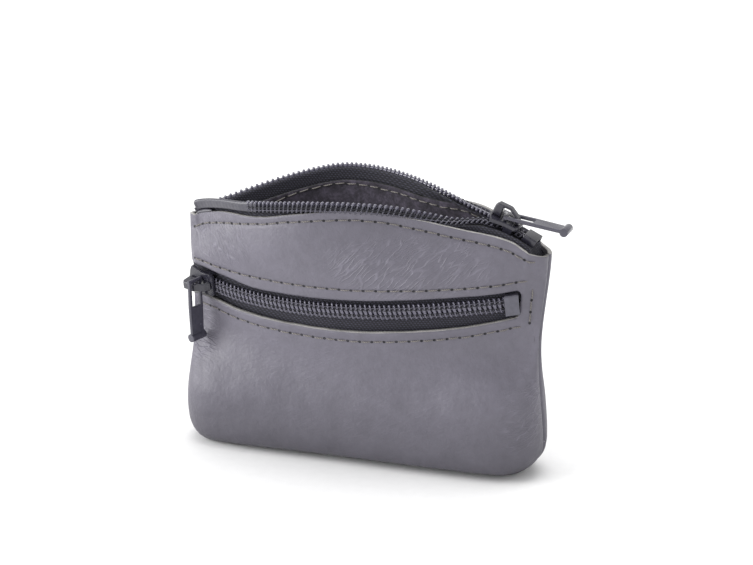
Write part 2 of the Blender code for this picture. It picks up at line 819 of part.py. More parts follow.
def slider_cover(name):
    """The raised cover: tall over the wide end, sloping to the tail, with a tunnel through it."""
    floor = PLATE_TOP + FIT
    outer = [
        (-COVER_FRONT, floor),
        (-COVER_FRONT + COVER_LEAN, floor + COVER_RISE - COVER_SHOULDER),
        (-COVER_FRONT + COVER_LEAN + COVER_SHOULDER, floor + COVER_RISE),
        (COVER_SLOPE_START, floor + COVER_RISE),
        (COVER_BACK - COVER_SHOULDER, floor + COVER_TAIL_RISE),
        (COVER_BACK, floor),
        (TUNNEL_BACK, floor),
        (TUNNEL_BACK, floor + TUNNEL_BACK_RISE),
        (COVER_SLOPE_START, floor + COVER_RISE - COVER_WALL),
        (-TUNNEL_FRONT, floor + COVER_RISE - COVER_WALL),
        (-TUNNEL_FRONT, floor),
    ]
    cover = prism(name, [outer], -COVER_WIDTH / 2, COVER_WIDTH / 2, along="Y")
    rounded(cover, COVER_ROUND)
    return cover


def lock_spring(name):
    """A bent strip that lies over the pull's bar, with its foot on the plate and its pawl in the hole."""
    floor = PLATE_TOP + FIT
    low = PLATE_TOP + SPRING_UNDER
    thick = SPRING_THICK
    outline = [
        (-PAWL_AT - thick / 2, low + thick),
        (-PAWL_AT - thick / 2, PLATE_TOP - PAWL_DROP),
        (-PAWL_AT + thick / 2, PLATE_TOP - PAWL_DROP),
        (-PAWL_AT + thick / 2, low),
        (SPRING_FLAT_END, low),
        (SPRING_FOOT - thick, floor + SPRING_FOOT_RISE),
        (SPRING_FOOT - thick, floor),
        (SPRING_FOOT, floor),
        (SPRING_FOOT, floor + SPRING_FOOT_RISE + thick / 2),
        (SPRING_FLAT_END + thick / 2, low + thick),
    ]
    return prism(name, [outline], -SPRING_WIDTH / 2, SPRING_WIDTH / 2, STEEL, along="Y")


def pull(name):
    """The pull: a loop round the cover, a bare face and a rolled end. Its origin is its bar's axis."""
    half = PULL_WIDTH / 2
    window = PULL_WINDOW / 2
    frame = mirrored_outline(
        [
            (-PIVOT_RADIUS, half - PULL_WAIST),
            (PULL_WINDOW_LENGTH, half),
            (PULL_LENGTH - PULL_END_RADIUS, half - PULL_WAIST),
        ]
    )
    loop = mirrored_outline(
        [
            (PIVOT_RADIUS, window - PULL_WAIST),
            (PIVOT_RADIUS + PULL_WAIST, window),
            (PULL_WINDOW_LENGTH - PULL_WAIST, window),
            (PULL_WINDOW_LENGTH, window - PULL_WAIST),
        ]
    )
    item = prism(name, [frame, loop], -PULL_THICK / 2, PULL_THICK / 2)
    rounded(item, PULL_WAIST)
    end = Vector((PULL_LENGTH - PULL_END_RADIUS, 0, 0))
    joined(item, rod(name + "_rolled_end", PULL_END_RADIUS, PULL_WIDTH, end, 14))
    return item


def end_stop(name):
    """A metal clamp folded over both rows at the foot of the zip, down to the tape."""
    inside = COIL_THICK / 2 + RUNNING
    foot = TAPE_LEVEL + TAPE / 2 + RUNNING
    profile = [
        (-STOP_HALF, foot),
        (-STOP_HALF, inside + STOP_WALL),
        (STOP_HALF, inside + STOP_WALL),
        (STOP_HALF, foot),
        (STOP_HALF - STOP_WALL, foot),
        (STOP_HALF - STOP_WALL, inside),
        (STOP_WALL - STOP_HALF, inside),
        (STOP_WALL - STOP_HALF, foot),
    ]
    clamp = prism(name, [profile], -STOP_LENGTH / 2, STOP_LENGTH / 2, STOP_METAL, along="X")
    rounded(clamp, STOP_ROUND)
    return clamp


def placed(item, origin, along, out):
    """Stands a piece on a zip: its X runs along the zip and its Z out of the zip's face."""
    across = out.cross(along).normalized()
    frame = Matrix((along.normalized(), across, out.normalized())).transposed()
    item.matrix_world = Matrix.Translation(origin) @ frame.to_4x4()
    return item


def mouth_frame(x):
    """Origin and two directions of the mouth zip at a place across it."""
    origin = Vector((x, 0, arch_height(x)))
    out = (origin - ARCH_CENTRE).normalized()
    return origin, Vector((out.z, 0, -out.x)), out


def front_frame(chord):
    origin = front_point(chord, 0, 0)
    out = (front_point(chord, COIL_THICK, 0) - origin).normalized()
    return origin, (FRONT_TURN @ Vector((0, 0, 1))).cross(out), out


def slider_set(prefix, frame, centre, turn):
    """Body, cover and spring of one slider, on an empty at the axis that it slides about."""
    axis = bpy.data.objects.new(prefix + "_axis", None)
    PARTS.objects.link(axis)
    axis.matrix_world = Matrix.Translation(centre) @ turn.to_4x4()
    bpy.context.view_layer.update()
    for make, ending in ((slider_body, "_body"), (slider_cover, "_cover"), (lock_spring, "_lock_spring")):
        item = make(prefix + ending)
        item.parent = axis
        placed(item, *frame)


def main_pull():
    """Lies back towards the tail, a little raised."""
    origin, along, out = mouth_frame(MAIN_SLIDER_X)
    bar = origin + out * (PLATE_TOP + PIVOT_RISE)
    lie = along * math.cos(MAIN_PULL_RISE) + out * math.sin(MAIN_PULL_RISE)
    face = out * math.cos(MAIN_PULL_RISE) - along * math.sin(MAIN_PULL_RISE)
    item = placed(pull("main_slider_pull"), bar, lie, face)
    bar_rod = rod("main_slider_pull_bar", PIVOT_RADIUS, PULL_WIDTH - PULL_WAIST, Vector(), 12)
    joined(item, bar_rod)


def hanging_lean(bar, along, up, out):
    """The angle at which a hanging pull just clears the leather below it."""
    leans = [0]
    for share in HANGING_SHARES:
        for offset in (-PULL_END_RADIUS, PULL_END_RADIUS):
            reach = PULL_LENGTH * share
            point = bar + along * offset - up * reach - out * PULL_WIDTH / 2
            leather = layer_point(-1, point.x / half_width(point.z), point.z, 0, SEAM_ROLL)
            short = (point.y - leather.y + HANGING_GAP) / -out.y
            leans.append(math.asin(max(short, 0) / reach))
    return max(leans)


def front_pull():
    """Hangs by its bar from the top of the cover, one side of its loop inside the tunnel."""
    origin, along, out = front_frame(FRONT_SLIDER_X)
    up = out.cross(along)
    inner = PLATE_TOP + HANGING_IN + PULL_WIDTH / 2
    bar = origin + along * HANGING_OFFSET + out * inner + up * (COVER_WIDTH / 2 + RUNNING + PIVOT_RADIUS)
    lean = hanging_lean(bar, along, up, out)
    down = out * math.sin(lean) - up * math.cos(lean)
    item = placed(pull("front_slider_pull"), bar, down, along)
    joined(item, rod("front_slider_pull_bar", PIVOT_RADIUS, PULL_WIDTH - PULL_WAIST, Vector(), 12))


leather_panel("front_panel", -1)
leather_panel("back_panel", 1)
lining("front_lining", -1)
lining("back_lining", 1)
pocket_sheet("pocket_bag_front", BAG_FRONT_DEPTH, BAG_FRONT_ROWS, BAG_EDGE_DROP)
pocket_sheet("pocket_bag_back", BAG_BACK_DEPTH, BAG_BACK_ROWS)
for place_name, way, row_phase in (("front", -1, 0), ("back", 1, 0.5)):
    mouth_tape("main_tape_" + place_name, way)
    mouth_coil("main_coil_" + place_name, way, row_phase)
for place_name, way, row_phase in (("lower", -1, 0), ("upper", 1, 0.5)):
    front_tape("front_tape_" + place_name, way)
    front_coil("front_coil_" + place_name, way, row_phase)
slider_set("main_slider", mouth_frame(MAIN_SLIDER_X), ARCH_CENTRE, Matrix.Identity(3))
slider_set("front_slider", front_frame(FRONT_SLIDER_X), front_place(0, 0, 0), FRONT_TURN)
main_pull()
front_pull()
placed(end_stop("main_end_stop"), *mouth_frame(MAIN_STOP_X))
placed(end_stop("front_end_stop"), *front_frame(FRONT_STOP_X))
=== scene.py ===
"""Dressed scene of a small leather zip coin purse.

Metres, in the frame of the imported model: +X right, +Y back, +Z up. The leather, zip rows, tapes, linings
and stitches are built here from the part's own lengths and formulas, with the sag of a worn purse. The
sliders, pulls and stops keep the part's solids, with rounded edges.
"""

import math

import bpy
import numpy as np
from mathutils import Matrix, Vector


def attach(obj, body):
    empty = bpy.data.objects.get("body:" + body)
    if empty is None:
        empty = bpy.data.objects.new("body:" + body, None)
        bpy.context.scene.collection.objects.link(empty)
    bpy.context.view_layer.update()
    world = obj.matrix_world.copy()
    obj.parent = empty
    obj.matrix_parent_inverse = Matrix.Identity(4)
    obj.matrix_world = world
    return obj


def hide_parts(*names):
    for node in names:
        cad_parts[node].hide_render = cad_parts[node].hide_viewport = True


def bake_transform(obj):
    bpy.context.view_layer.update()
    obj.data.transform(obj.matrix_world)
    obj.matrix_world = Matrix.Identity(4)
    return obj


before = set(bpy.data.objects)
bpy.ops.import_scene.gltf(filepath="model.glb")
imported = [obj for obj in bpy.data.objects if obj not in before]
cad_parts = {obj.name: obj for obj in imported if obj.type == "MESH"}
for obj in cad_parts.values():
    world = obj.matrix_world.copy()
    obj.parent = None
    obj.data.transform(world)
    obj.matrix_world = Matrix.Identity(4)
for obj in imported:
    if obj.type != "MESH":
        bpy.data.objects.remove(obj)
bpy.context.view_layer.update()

# Leather body, as in the part
HALF_WIDTH = 0.0480
WAIST_IN = 0.0017
WAIST_HEIGHT = 0.0330
WAIST_REACH = 0.0260
CORNER_RADIUS = 0.0090
BASE_HALF = 0.0065
BELLY_HALF = 0.0135
BELLY_HEIGHT = 0.0110
SEAM_PLANE = -0.0019
SEAM_ROLL = 0.0013
SEAM_TUCK = 0.0011
LEATHER = 0.0011
LINING = 0.0005
TAPE = 0.0005
LAYER_GAP = 0.0003
SEAM_HALF = LAYER_GAP / 2
FRONT_LINING_DEPTH = 0.0038
MOUTH_LINING_DEPTH = 0.0022
LINING_BLEND = 0.0120
SIDE_POWER = 7.0
EDGE_SHARE = 0.05
LIP_START_SHARE = 0.55
BACK_LENS_SHARE = 0.75

# Mouth and front pocket, as in the part
ARCH_HALF_CHORD = 0.0460
ARCH_RISE = 0.0108
ARCH_TOP = 0.0710
MOUTH_HALF = 0.0165
MOUTH_END_HALF = 0.0026
MOUTH_LEFT = -0.0445
FLAT_LEATHER_HALF = 0.0060
FLAT_LEATHER_BELOW = 0.0029
LEATHER_BELOW_ZIP = 0.0031
LIP_BLEND = 0.0240
FRONT_HALF_CHORD = 0.0460
FRONT_BULGE = 0.0110
FRONT_END_OUT = 0.0030
FRONT_SMILE = 0.0020
FRONT_END_HEIGHT = 0.0446
FRONT_TILT = math.radians(2.2)
WINDOW_HEIGHT = 0.0085
WINDOW_RIGHT = 0.0448
ZIP_BLEND = 0.0200
PITCH = 0.00125
COIL_THICK = 0.0012
ROW_SPREAD = 0.0018
MEETING_LENGTH = 0.0024
TAPE_EDGE = 0.0004
STANDING_TAPE = 0.0023
SLIDER_LENGTH = 0.0084
WEDGE_HALF = 0.0007
WEDGE_LENGTH = 0.0016
RUNNING = 0.0002
MAIN_SLIDER_X = 0.0368
FRONT_SLIDER_X = -0.0413
FRONT_STOP_X = 0.0408
TAPE_LEVEL = -(COIL_THICK / 2 + LAYER_GAP + TAPE / 2)
UNDER_LEATHER = LEATHER + LAYER_GAP + TAPE / 2
LEATHER_OUT = COIL_THICK / 2

# Wear that only this scene has: the tuck at the foot, and where the lip and the window's end shift
FOOT_TUCK = 0.0035
FOOT_TUCK_LEFT = 0.0010
FOOT_TUCK_START = -0.0400
FOOT_TUCK_REACH = 0.0500
FOOT_TUCK_HEIGHT = 0.0026
LIP_OVER = 0.0010
LEATHER_PAST_TAPE = 0.0030
SHIFT_FOOT = 0.0220
SHIFT_RISE = 0.0140


def smooth(t):
    t = np.clip(t, 0, 1)
    return t * t * (3 - 2 * t)


def mix(low, high, t):
    return low + (high - low) * t


def vec(x, y, z):
    return np.stack(np.broadcast_arrays(x, y, z), axis=-1).astype(float)


def scaled(v, s):
    return v * np.asarray(s)[..., None]


def curve(*points, soft=2.2):
    """A soft curve through points given in millimetres."""
    grid = np.linspace(-56, 56, 561)
    value = np.interp(grid, [point[0] for point in points], [point[1] for point in points])
    kernel = np.exp(-((np.arange(-30, 31) * 0.2 / soft) ** 2) / 2)
    value = np.convolve(np.pad(value, 30, mode="edge"), kernel / kernel.sum(), "valid")
    return lambda x: np.interp(np.asarray(x) * 1000, grid, value) / 1000


# How far the leather and the zip's rows sit above the part's even arch, in front (-1) and behind (1)
LEATHER_SHIFT = {
    -1: curve(
        (-48, 2.0), (-44, 1.6), (-35, 0.8), (-28, -0.9), (-21, -1.5), (-14, -0.8), (-8, -0.3), (0, 0.6),
        (8, 0.4), (14, -0.3), (26, -0.3), (31, 0.0), (36, 1.3), (41, 2.2), (45, 2.8), (46.6, 2.2),
        (48, -0.6),
    ),
    1: curve(
        (-48, 0.2), (-41, -1.4), (-30, -1.5), (-21, -1.0), (-12, -0.2), (0, -0.5), (12, -0.6),
        (19, 0.2), (23, 1.4), (27, 2.3), (31, 2.8), (35, 2.5), (42, 2.0), (46, 2.2), (48, -0.6),
    ),
}
ROW_SHIFT = {
    -1: curve(
        (-48, 1.7), (-44, 1.6), (-37, 0.6), (-28, -0.9), (-20, -1.35), (0, -1.35), (12, -1.6),
        (18, -2.3), (25, -2.7), (28.5, -1.9), (31.5, 0), (48, 0),
    ),
    1: curve(
        (-48, 0.0), (-46, -0.4), (-41, -1.7), (-30, -1.6), (-21, -1.0), (-12, -0.2), (0, -0.6),
        (12, -0.8), (21, -0.6), (28, -0.5), (31.5, 0), (48, 0),
    ),
}
# How far the sides and the window's right end stand out, and the pocket's zip, lip and stitches shift
SIDE_SHIFT = curve((-48, 1.1), (-43, 0.4), (-37, 0), (44, 0), (46.2, 0.4), (48, 0.9), soft=0.7)
WINDOW_SHIFT = curve((36, 0), (41, -0.4), (44.8, -1.4), (46.2, -0.6), (48, 0.2), soft=0.7)
POCKET_SHIFT = curve(
    (-48, 0), (-40, -0.1), (-36, -0.6), (-32, -1.0), (-22, -1.2), (-10, -1.15), (0, -0.85), (10, -0.6),
    (22, -0.2), (32, 0),
)
LOW_LIP = curve(
    (-38, 0), (-30, -0.3), (-24, -0.5), (-11, -1.1), (4, -1.5), (12, -1.3), (24, -1.4), (31, -1.2),
    (38, -0.5), (44, 0),
)
STITCH_DROP = curve(
    (-48, 2.4), (-40, 2.6), (-34, 2.9), (-26, 1.9), (-18, 1.7), (-10, 2.0), (0, 2.4), (12, 2.2),
    (20, 2.5), (33, 2.4), (40, 2.2), (44, 1.9), (48, 0.9),
)


# The mouth's arch and the two rows along it
ARCH_RADIUS = (ARCH_HALF_CHORD**2 + ARCH_RISE**2) / (2 * ARCH_RISE)
ARCH_Z = ARCH_TOP - ARCH_RADIUS
SLIDER_MOUTH_X = MAIN_SLIDER_X - SLIDER_LENGTH / 2
ROWS_MEET_X = SLIDER_MOUTH_X + WEDGE_LENGTH + MEETING_LENGTH


def arch_height(x):
    return np.sqrt(ARCH_RADIUS**2 - x**2) + ARCH_Z


def mouth_half(x):
    share = np.clip((x - MOUTH_LEFT) / (SLIDER_MOUTH_X - MOUTH_LEFT), 0, 1)
    bow = np.maximum(np.sin(np.pi * share**0.863), 0) ** 1.3
    wide = mix(mix(MOUTH_END_HALF, ROW_SPREAD, share), MOUTH_HALF, bow)
    near = ROW_SPREAD * smooth((ROWS_MEET_X - x) / MEETING_LENGTH)
    return np.where(x > SLIDER_MOUTH_X, near, wide)


def standing(x):
    return smooth((SLIDER_MOUTH_X - x) / LIP_BLEND)


def lip_point(side, x, across, normal):
    """A point beside the zip row, which lies flat at the slider and stands up away from it."""
    up = vec(x, 0 * x, arch_height(x) - ARCH_Z) / ARCH_RADIUS
    turn = math.pi / 2 * standing(x)
    out = vec(0 * x, side + 0 * x, 0 * x)
    along_teeth = scaled(up, np.sin(turn)) - scaled(out, np.cos(turn))
    along_face = scaled(up, np.cos(turn)) + scaled(out, np.sin(turn))
    middle = vec(x, side * mouth_half(x), arch_height(x))
    return middle + scaled(along_teeth, across + 0 * x) + scaled(along_face, normal + 0 * x)


def lip_edge(x):
    stand = standing(x)
    flat = FLAT_LEATHER_HALF - np.minimum(mouth_half(x), ROW_SPREAD)
    half = mouth_half(x) + mix(flat, COIL_THICK / 2, stand)
    drop = mix(FLAT_LEATHER_BELOW, LEATHER_BELOW_ZIP, stand)
    return half, arch_height(np.clip(np.abs(x), 0, ARCH_HALF_CHORD)) - drop


# The pocket zip's circle
FRONT_SAG = math.hypot(FRONT_BULGE, FRONT_SMILE)
FRONT_LEAN = math.atan2(FRONT_SMILE, FRONT_BULGE)
FRONT_RADIUS = (FRONT_HALF_CHORD**2 + FRONT_SAG**2) / (2 * FRONT_SAG)
FRONT_ORIGIN = np.array((0, -FRONT_END_OUT, FRONT_END_HEIGHT))
TILT_COS, TILT_SIN = math.cos(FRONT_TILT), math.sin(FRONT_TILT)
LEAN_COS, LEAN_SIN = math.cos(FRONT_LEAN), math.sin(FRONT_LEAN)
FRONT_TURN = np.array(((TILT_COS, 0, -TILT_SIN), (0, 1, 0), (TILT_SIN, 0, TILT_COS))) @ np.array(
    ((1, 0, 0), (0, LEAN_COS, -LEAN_SIN), (0, LEAN_SIN, LEAN_COS))
)


def front_place(x, reach, up):
    return FRONT_ORIGIN + vec(x, FRONT_RADIUS - FRONT_SAG - reach, up) @ FRONT_TURN.T


def front_point(chord, out, up):
    angle = np.arcsin(chord / FRONT_RADIUS)
    radius = FRONT_RADIUS + out
    return front_place(radius * np.sin(angle), radius * np.cos(angle), up)


def front_surface(x, up):
    return front_place(x, np.sqrt((FRONT_RADIUS + LEATHER_OUT) ** 2 - x**2), up)


def front_half(x, z):
    local = (vec(x, -FRONT_BULGE + 0 * x, z) - FRONT_ORIGIN) @ FRONT_TURN
    return -front_surface(local[..., 0], local[..., 2])[..., 1]


# The body's layers
def half_width(z):
    return HALF_WIDTH - WAIST_IN * smooth(1 - np.abs(z - WAIST_HEIGHT) / WAIST_REACH)


def bottom_edge(share, depth=0):
    past = np.clip(np.abs(share) * HALF_WIDTH - (HALF_WIDTH - CORNER_RADIUS), 0, CORNER_RADIUS)
    return CORNER_RADIUS - np.sqrt(CORNER_RADIUS**2 - past**2) + depth


def window_edge(share, up):
    return front_surface(share * HALF_WIDTH, up)[..., 2]


def outer_half(side, share, z):
    """Half the body's depth: belly below, the pocket zip's lens in the middle, the mouth's lip above."""
    reach = np.minimum(np.abs(share), 1)
    x = share * HALF_WIDTH
    above = np.maximum(z - bottom_edge(share), 0)
    rise = np.sqrt(1 - (1 - np.minimum(above / BELLY_HEIGHT, 1)) ** 2)
    tuck = mix(FOOT_TUCK_LEFT, FOOT_TUCK, smooth((x - FOOT_TUCK_START) / FOOT_TUCK_REACH))
    tuck = tuck * (1 - smooth(above / FOOT_TUCK_HEIGHT))
    full = np.sqrt(np.maximum(1 - reach**SIDE_POWER, 0))
    low = mix(SEAM_ROLL, mix(BASE_HALF, BELLY_HALF, rise) - tuck, full)
    close = np.minimum((1 - reach) / EDGE_SHARE, 1) ** 0.5
    zip_low = window_edge(share, -WINDOW_HEIGHT)
    zip_high = window_edge(share, WINDOW_HEIGHT * LIP_START_SHARE)
    lens = mix(SEAM_ROLL, np.maximum(front_half(x, z), SEAM_ROLL), close)
    follow = 1 if side < 0 else BACK_LENS_SHARE
    body = mix(low, lens, follow * smooth((z - zip_low + ZIP_BLEND) / ZIP_BLEND))
    half, height = lip_edge(x)
    lip = mix(SEAM_ROLL, np.maximum(half, SEAM_ROLL), close)
    return mix(body, lip, smooth((z - zip_high) / (height - LIP_OVER - zip_high)))


def seam_shift(share, z):
    sides = np.abs(share) ** SIDE_POWER
    base = 1 - smooth((z - bottom_edge(share)) / BELLY_HEIGHT)
    top = smooth((z - WAIST_HEIGHT) / WAIST_REACH)
    return SEAM_PLANE * np.maximum(sides, base) * (1 - top)


def layer_point(side, share, z, depth, least):
    """A point of the layer at a depth below the leather's face, at least so far from the seam."""
    half = np.maximum(outer_half(side, share, z) - depth, least)
    x = share * HALF_WIDTH
    start = window_edge(share, WINDOW_HEIGHT / 2 + LEATHER_PAST_TAPE)
    fade = smooth((z - start) / (lip_edge(x)[1] - start))
    moved = SIDE_SHIFT(x) + WINDOW_SHIFT(x) * smooth((z - SHIFT_FOOT) / SHIFT_RISE)
    across = share * (half_width(z) - depth) + moved
    return vec(across, seam_shift(share, z) + side * half, z + LEATHER_SHIFT[side](x) * fade)


def row_point(side, x, across, normal):
    """A point beside the zip row, after the row's own sag."""
    point = lip_point(side, x, across, normal)
    point[..., 2] += ROW_SHIFT[side](x)
    return point


# Meshes
def mesh_object(name, points, faces, materials, slots=None, flat=False):
    mesh = bpy.data.meshes.new(name)
    mesh.from_pydata(np.asarray(points).tolist(), [], faces)
    for material in materials:
        mesh.materials.append(material)
    if slots is not None:
        mesh.polygons.foreach_set("material_index", np.asarray(slots, np.int32))
    mesh.validate()
    if not flat:
        mesh.shade_smooth()
    item = bpy.data.objects.new(name, mesh)
    bpy.context.scene.collection.objects.link(item)
    return item


def normals_of(grid):
    """Unit normals of a grid of points, from its differences."""
    normal = np.cross(np.gradient(grid, axis=0), np.gradient(grid, axis=1))
    return normal / np.maximum(np.linalg.norm(normal, axis=-1, keepdims=True), 1e-12)


def shell(name, outer, inner, materials, keep=None, turned=False):
    """A closed sheet between two grids: its outer face, raw rim and inner face take one material each."""
    columns, rows = outer.shape[:2]
    if keep is None:
        keep = np.ones((columns - 1, rows - 1), bool)
    index = np.arange(columns * rows).reshape(columns, rows)
    cells = np.stack([index[:-1, :-1], index[1:, :-1], index[1:, 1:], index[:-1, 1:]], axis=-1)
    outer_faces = cells[keep]
    inner_faces = outer_faces[:, ::-1] + columns * rows
    rims = []
    ways = (
        ((0, -1), (0, 0), (1, 0)),
        ((1, 0), (1, 0), (1, 1)),
        ((0, 1), (1, 1), (0, 1)),
        ((-1, 0), (0, 1), (0, 0)),
    )
    padded = np.pad(keep, 1)
    for step, start, end in ways:
        beside = padded[1 + step[0] : columns + step[0], 1 + step[1] : rows + step[1]]
        c, r = np.nonzero(keep & ~beside)
        a = index[c + start[0], r + start[1]]
        b = index[c + end[0], r + end[1]]
        rims.append(np.stack([b, a, a + columns * rows, b + columns * rows], axis=-1))
    rims = np.concatenate(rims)
    faces = np.concatenate([outer_faces, rims, inner_faces])
    if turned:
        faces = faces[:, ::-1]
    slots = np.repeat([0, 1, 2], [len(outer_faces), len(rims), len(inner_faces)])
    points = np.concatenate([outer.reshape(-1, 3), inner.reshape(-1, 3)])
    return mesh_object(name, points, faces.tolist(), materials, slots)


# Camera at the photograph's angle, floor and soft light. A light has its name, place, size and power
PHOTO_WIDTH = 753 / 3960
LIGHTS = (
    ("key", (-0.85, -0.60, 0.48), 0.8, 6.3),
    ("side", (-1.0, -0.30, 0.12), 0.8, 6.6),
    ("fill", (0.65, -0.75, 0.25), 0.8, 1.1),
    ("top", (0, 0.25, 1.0), 0.9, 6.2),
)
LIGHT_AIM = (0, 0, 0.03)
FLOOR_HALF = 6


def add_camera():
    azimuth, elevation, distance = math.radians(20), math.radians(18.4), 0.9
    aim = Vector((0.00323, 0, 0.04534))
    level = math.cos(elevation)
    way = Vector((math.sin(azimuth) * level, -math.cos(azimuth) * level, math.sin(elevation)))
    data = bpy.data.cameras.new("camera")
    data.sensor_width = 36
    data.lens = data.sensor_width * distance / PHOTO_WIDTH
    data.clip_start = 0.01
    item = bpy.data.objects.new("camera", data)
    bpy.context.scene.collection.objects.link(item)
    item.location = aim + way * distance
    item.rotation_euler = (-way).to_track_quat("-Z", "Y").to_euler()
    bpy.context.scene.camera = item


def add_light(name, place, size, power):
    data = bpy.data.lights.new(name, "AREA")
    data.shape = "DISK"
    data.size = size
    data.energy = power
    item = bpy.data.objects.new(name, data)
    bpy.context.scene.collection.objects.link(item)
    item.location = place
    item.rotation_euler = (Vector(LIGHT_AIM) - Vector(place)).to_track_quat("-Z", "Y").to_euler()


def add_studio():
    scene = bpy.context.scene
    scene.view_settings.view_transform = "Standard"
    world = bpy.data.worlds.new("studio")
    scene.world = world
    world.use_nodes = True
    back = world.node_tree.nodes["Background"]
    back.inputs["Color"].default_value = (1, 1, 1, 1)
    back.inputs["Strength"].default_value = 0.78
    for light in LIGHTS:
        add_light(*light)
    corners = [(x * FLOOR_HALF, y * FLOOR_HALF, 0) for x, y in ((-1, -1), (1, -1), (1, 1), (-1, 1))]
    floor = mesh_object("floor", corners, [(0, 1, 2, 3)], [paper("floor_paper")], flat=True)


# Materials
def material(name, colour, roughness, metallic=0.0):
    """A Principled material, its shader, helpers that add and link nodes, and the place on the object."""
    made = bpy.data.materials.new(name)
    made.use_nodes = True
    tree = made.node_tree
    shader = tree.nodes["Principled BSDF"]
    shader.inputs["Base Color"].default_value = (*colour, 1)
    shader.inputs["Roughness"].default_value = roughness
    shader.inputs["Metallic"].default_value = metallic

    def add(kind, inputs=(), **settings):
        node = tree.nodes.new(kind)
        for key, value in settings.items():
            setattr(node, key, value)
        for key, value in dict(inputs).items():
            if isinstance(value, bpy.types.NodeSocket):
                tree.links.new(value, node.inputs[key])
            else:
                node.inputs[key].default_value = value
        return node

    return made, shader, add, tree.links.new, add("ShaderNodeTexCoord").outputs["Object"]


def ramp(add, value, stops):
    node = add("ShaderNodeValToRGB", {"Fac": value})
    node.color_ramp.elements[0].position = stops[0][0]
    node.color_ramp.elements[0].color = (*stops[0][1], 1)
    node.color_ramp.elements[1].position = stops[-1][0]
    node.color_ramp.elements[1].color = (*stops[-1][1], 1)
    for place, colour in stops[1:-1]:
        node.color_ramp.elements.new(place).color = (*colour, 1)
    return node.outputs["Color"]


def tone(colour, share):
    return tuple(min(part * share, 1) for part in colour)


def noise(add, where, scale, detail, **more):
    """The value of a noise texture."""
    inputs = {"Vector": where, "Scale": scale, "Detail": detail, **more}
    return add("ShaderNodeTexNoise", inputs).outputs["Fac"]


def blended(add, share, first, second):
    return add("ShaderNodeMix", {"Factor": share, "A": first, "B": second}).outputs["Result"]


def bumped(add, link, shader, height, strength, distance):
    bump = add("ShaderNodeBump", {"Height": height, "Strength": strength, "Distance": distance})
    link(bump.outputs["Normal"], shader.inputs["Normal"])


def shaded(add, link, shader, value, colour, low, high):
    """Colour by a value. low is the darker tone's place and share, and the plain colour's place."""
    stops = [(low[0], tone(colour, low[1])), (low[2], colour), (high[0], tone(colour, high[1]))]
    link(ramp(add, value, stops), shader.inputs["Base Color"])


def paper(name):
    made, shader, add, link, where = material(name, (0.9, 0.9, 0.9), 0.9)
    greys = [(0.3, (0.885, 0.885, 0.885)), (0.7, (0.91, 0.91, 0.91))]
    link(ramp(add, noise(add, where, 400.0, 4.0), greys), shader.inputs["Base Color"])
    return made


LEATHER_ROUGHNESS = 0.44
CREASE_STRETCH = (130, 240, 950)


def leather(name, colour, crease_zones):
    """Pebbled grain, fine pores, mottling, fans of creases in zones, and painted shade that darkens it
    towards the foot.
    """
    made, shader, add, link, where = material(name, colour, LEATHER_ROUGHNESS)

    def mapped(value, low, high, first, last):
        inputs = {"Value": value, "From Min": low, "From Max": high, "To Min": first, "To Max": last}
        return add("ShaderNodeMapRange", inputs, interpolation_type="SMOOTHSTEP").outputs["Result"]

    def sum_of(first, second, kind="ADD"):
        return add("ShaderNodeMath", {0: first, 1: second}, operation=kind).outputs[0]

    def product(first, second):
        return sum_of(first, second, "MULTIPLY")

    def vector(kind, first, second):
        return add("ShaderNodeVectorMath", {0: first, 1: second}, operation=kind).outputs[0]

    def cell(place, scale, kind, **more):
        inputs = {"Vector": place, "Scale": scale, **more}
        return add("ShaderNodeTexVoronoi", inputs, feature=kind).outputs["Distance"]

    def warped(scale, size):
        inputs = {"Vector": where, "Scale": scale, "Detail": 2.0}
        warp = add("ShaderNodeTexNoise", inputs).outputs["Color"]
        return vector("ADD", where, vector("MULTIPLY", warp, (size, size, size)))

    place = warped(260.0, 0.0012)
    pebbles = cell(place, 950.0, "SMOOTH_F1", Smoothness=0.55)
    pores = cell(place, 2300.0, "F1")
    patches = noise(add, where, 70.0, 4.0, Roughness=0.6)
    soft = noise(add, where, 420.0, 3.0, Roughness=0.6)
    grain = blended(add, 0.3, pebbles, pores)
    bend = warped(120.0, 0.0030)
    lines, height = None, sum_of(product(grain, -0.5), product(soft, 0.9))
    for x, z, wide, tall, angle, strength in crease_zones:
        shape = vector("MULTIPLY", vector("SUBTRACT", where, (x, 0, z)), (1 / wide, 0, 1 / tall))
        away = add("ShaderNodeVectorMath", {0: shape}, operation="LENGTH").outputs["Value"]
        zone = mapped(away, 1.0, 0.35, 0.0, strength)
        turn = {"Vector": bend, "Rotation": (0, math.radians(angle), 0)}
        long = vector("MULTIPLY", add("ShaderNodeMapping", turn).outputs["Vector"], CREASE_STRETCH)
        ridge = product(mapped(cell(long, 1.0, "DISTANCE_TO_EDGE"), 0.12, 0.0, 0.0, 1.0), zone)
        ridge = product(ridge, mapped(patches, 0.35, 0.6, 0.25, 1.0))
        lines = ridge if lines is None else sum_of(lines, ridge)
    height = sum_of(height, product(lines, 1.35))
    bumped(add, link, shader, height, 0.55, 0.00034)
    shade = sum_of(product(patches, 0.55), product(soft, 0.45))
    base = ramp(add, shade, [(0.30, tone(colour, 0.86)), (0.5, colour), (0.70, tone(colour, 1.15))])
    # Painted shade: the colour darkens towards the foot, where the belly turns under; it is also paler
    # along the crease lines.
    foot = mapped(add("ShaderNodeSeparateXYZ", {"Vector": where}).outputs["Z"], -0.006, 0.026, 0.50, 1.0)
    foot_shade_and_pale_creases = sum_of(foot, product(lines, 0.36))
    base = add("ShaderNodeVectorMath", {0: base, "Scale": foot_shade_and_pale_creases}, operation="SCALE").outputs[0]
    link(base, shader.inputs["Base Color"])
    gloss = mapped(patches, 0.3, 0.7, LEATHER_ROUGHNESS - 0.05, LEATHER_ROUGHNESS + 0.09)
    link(gloss, shader.inputs["Roughness"])
    return made


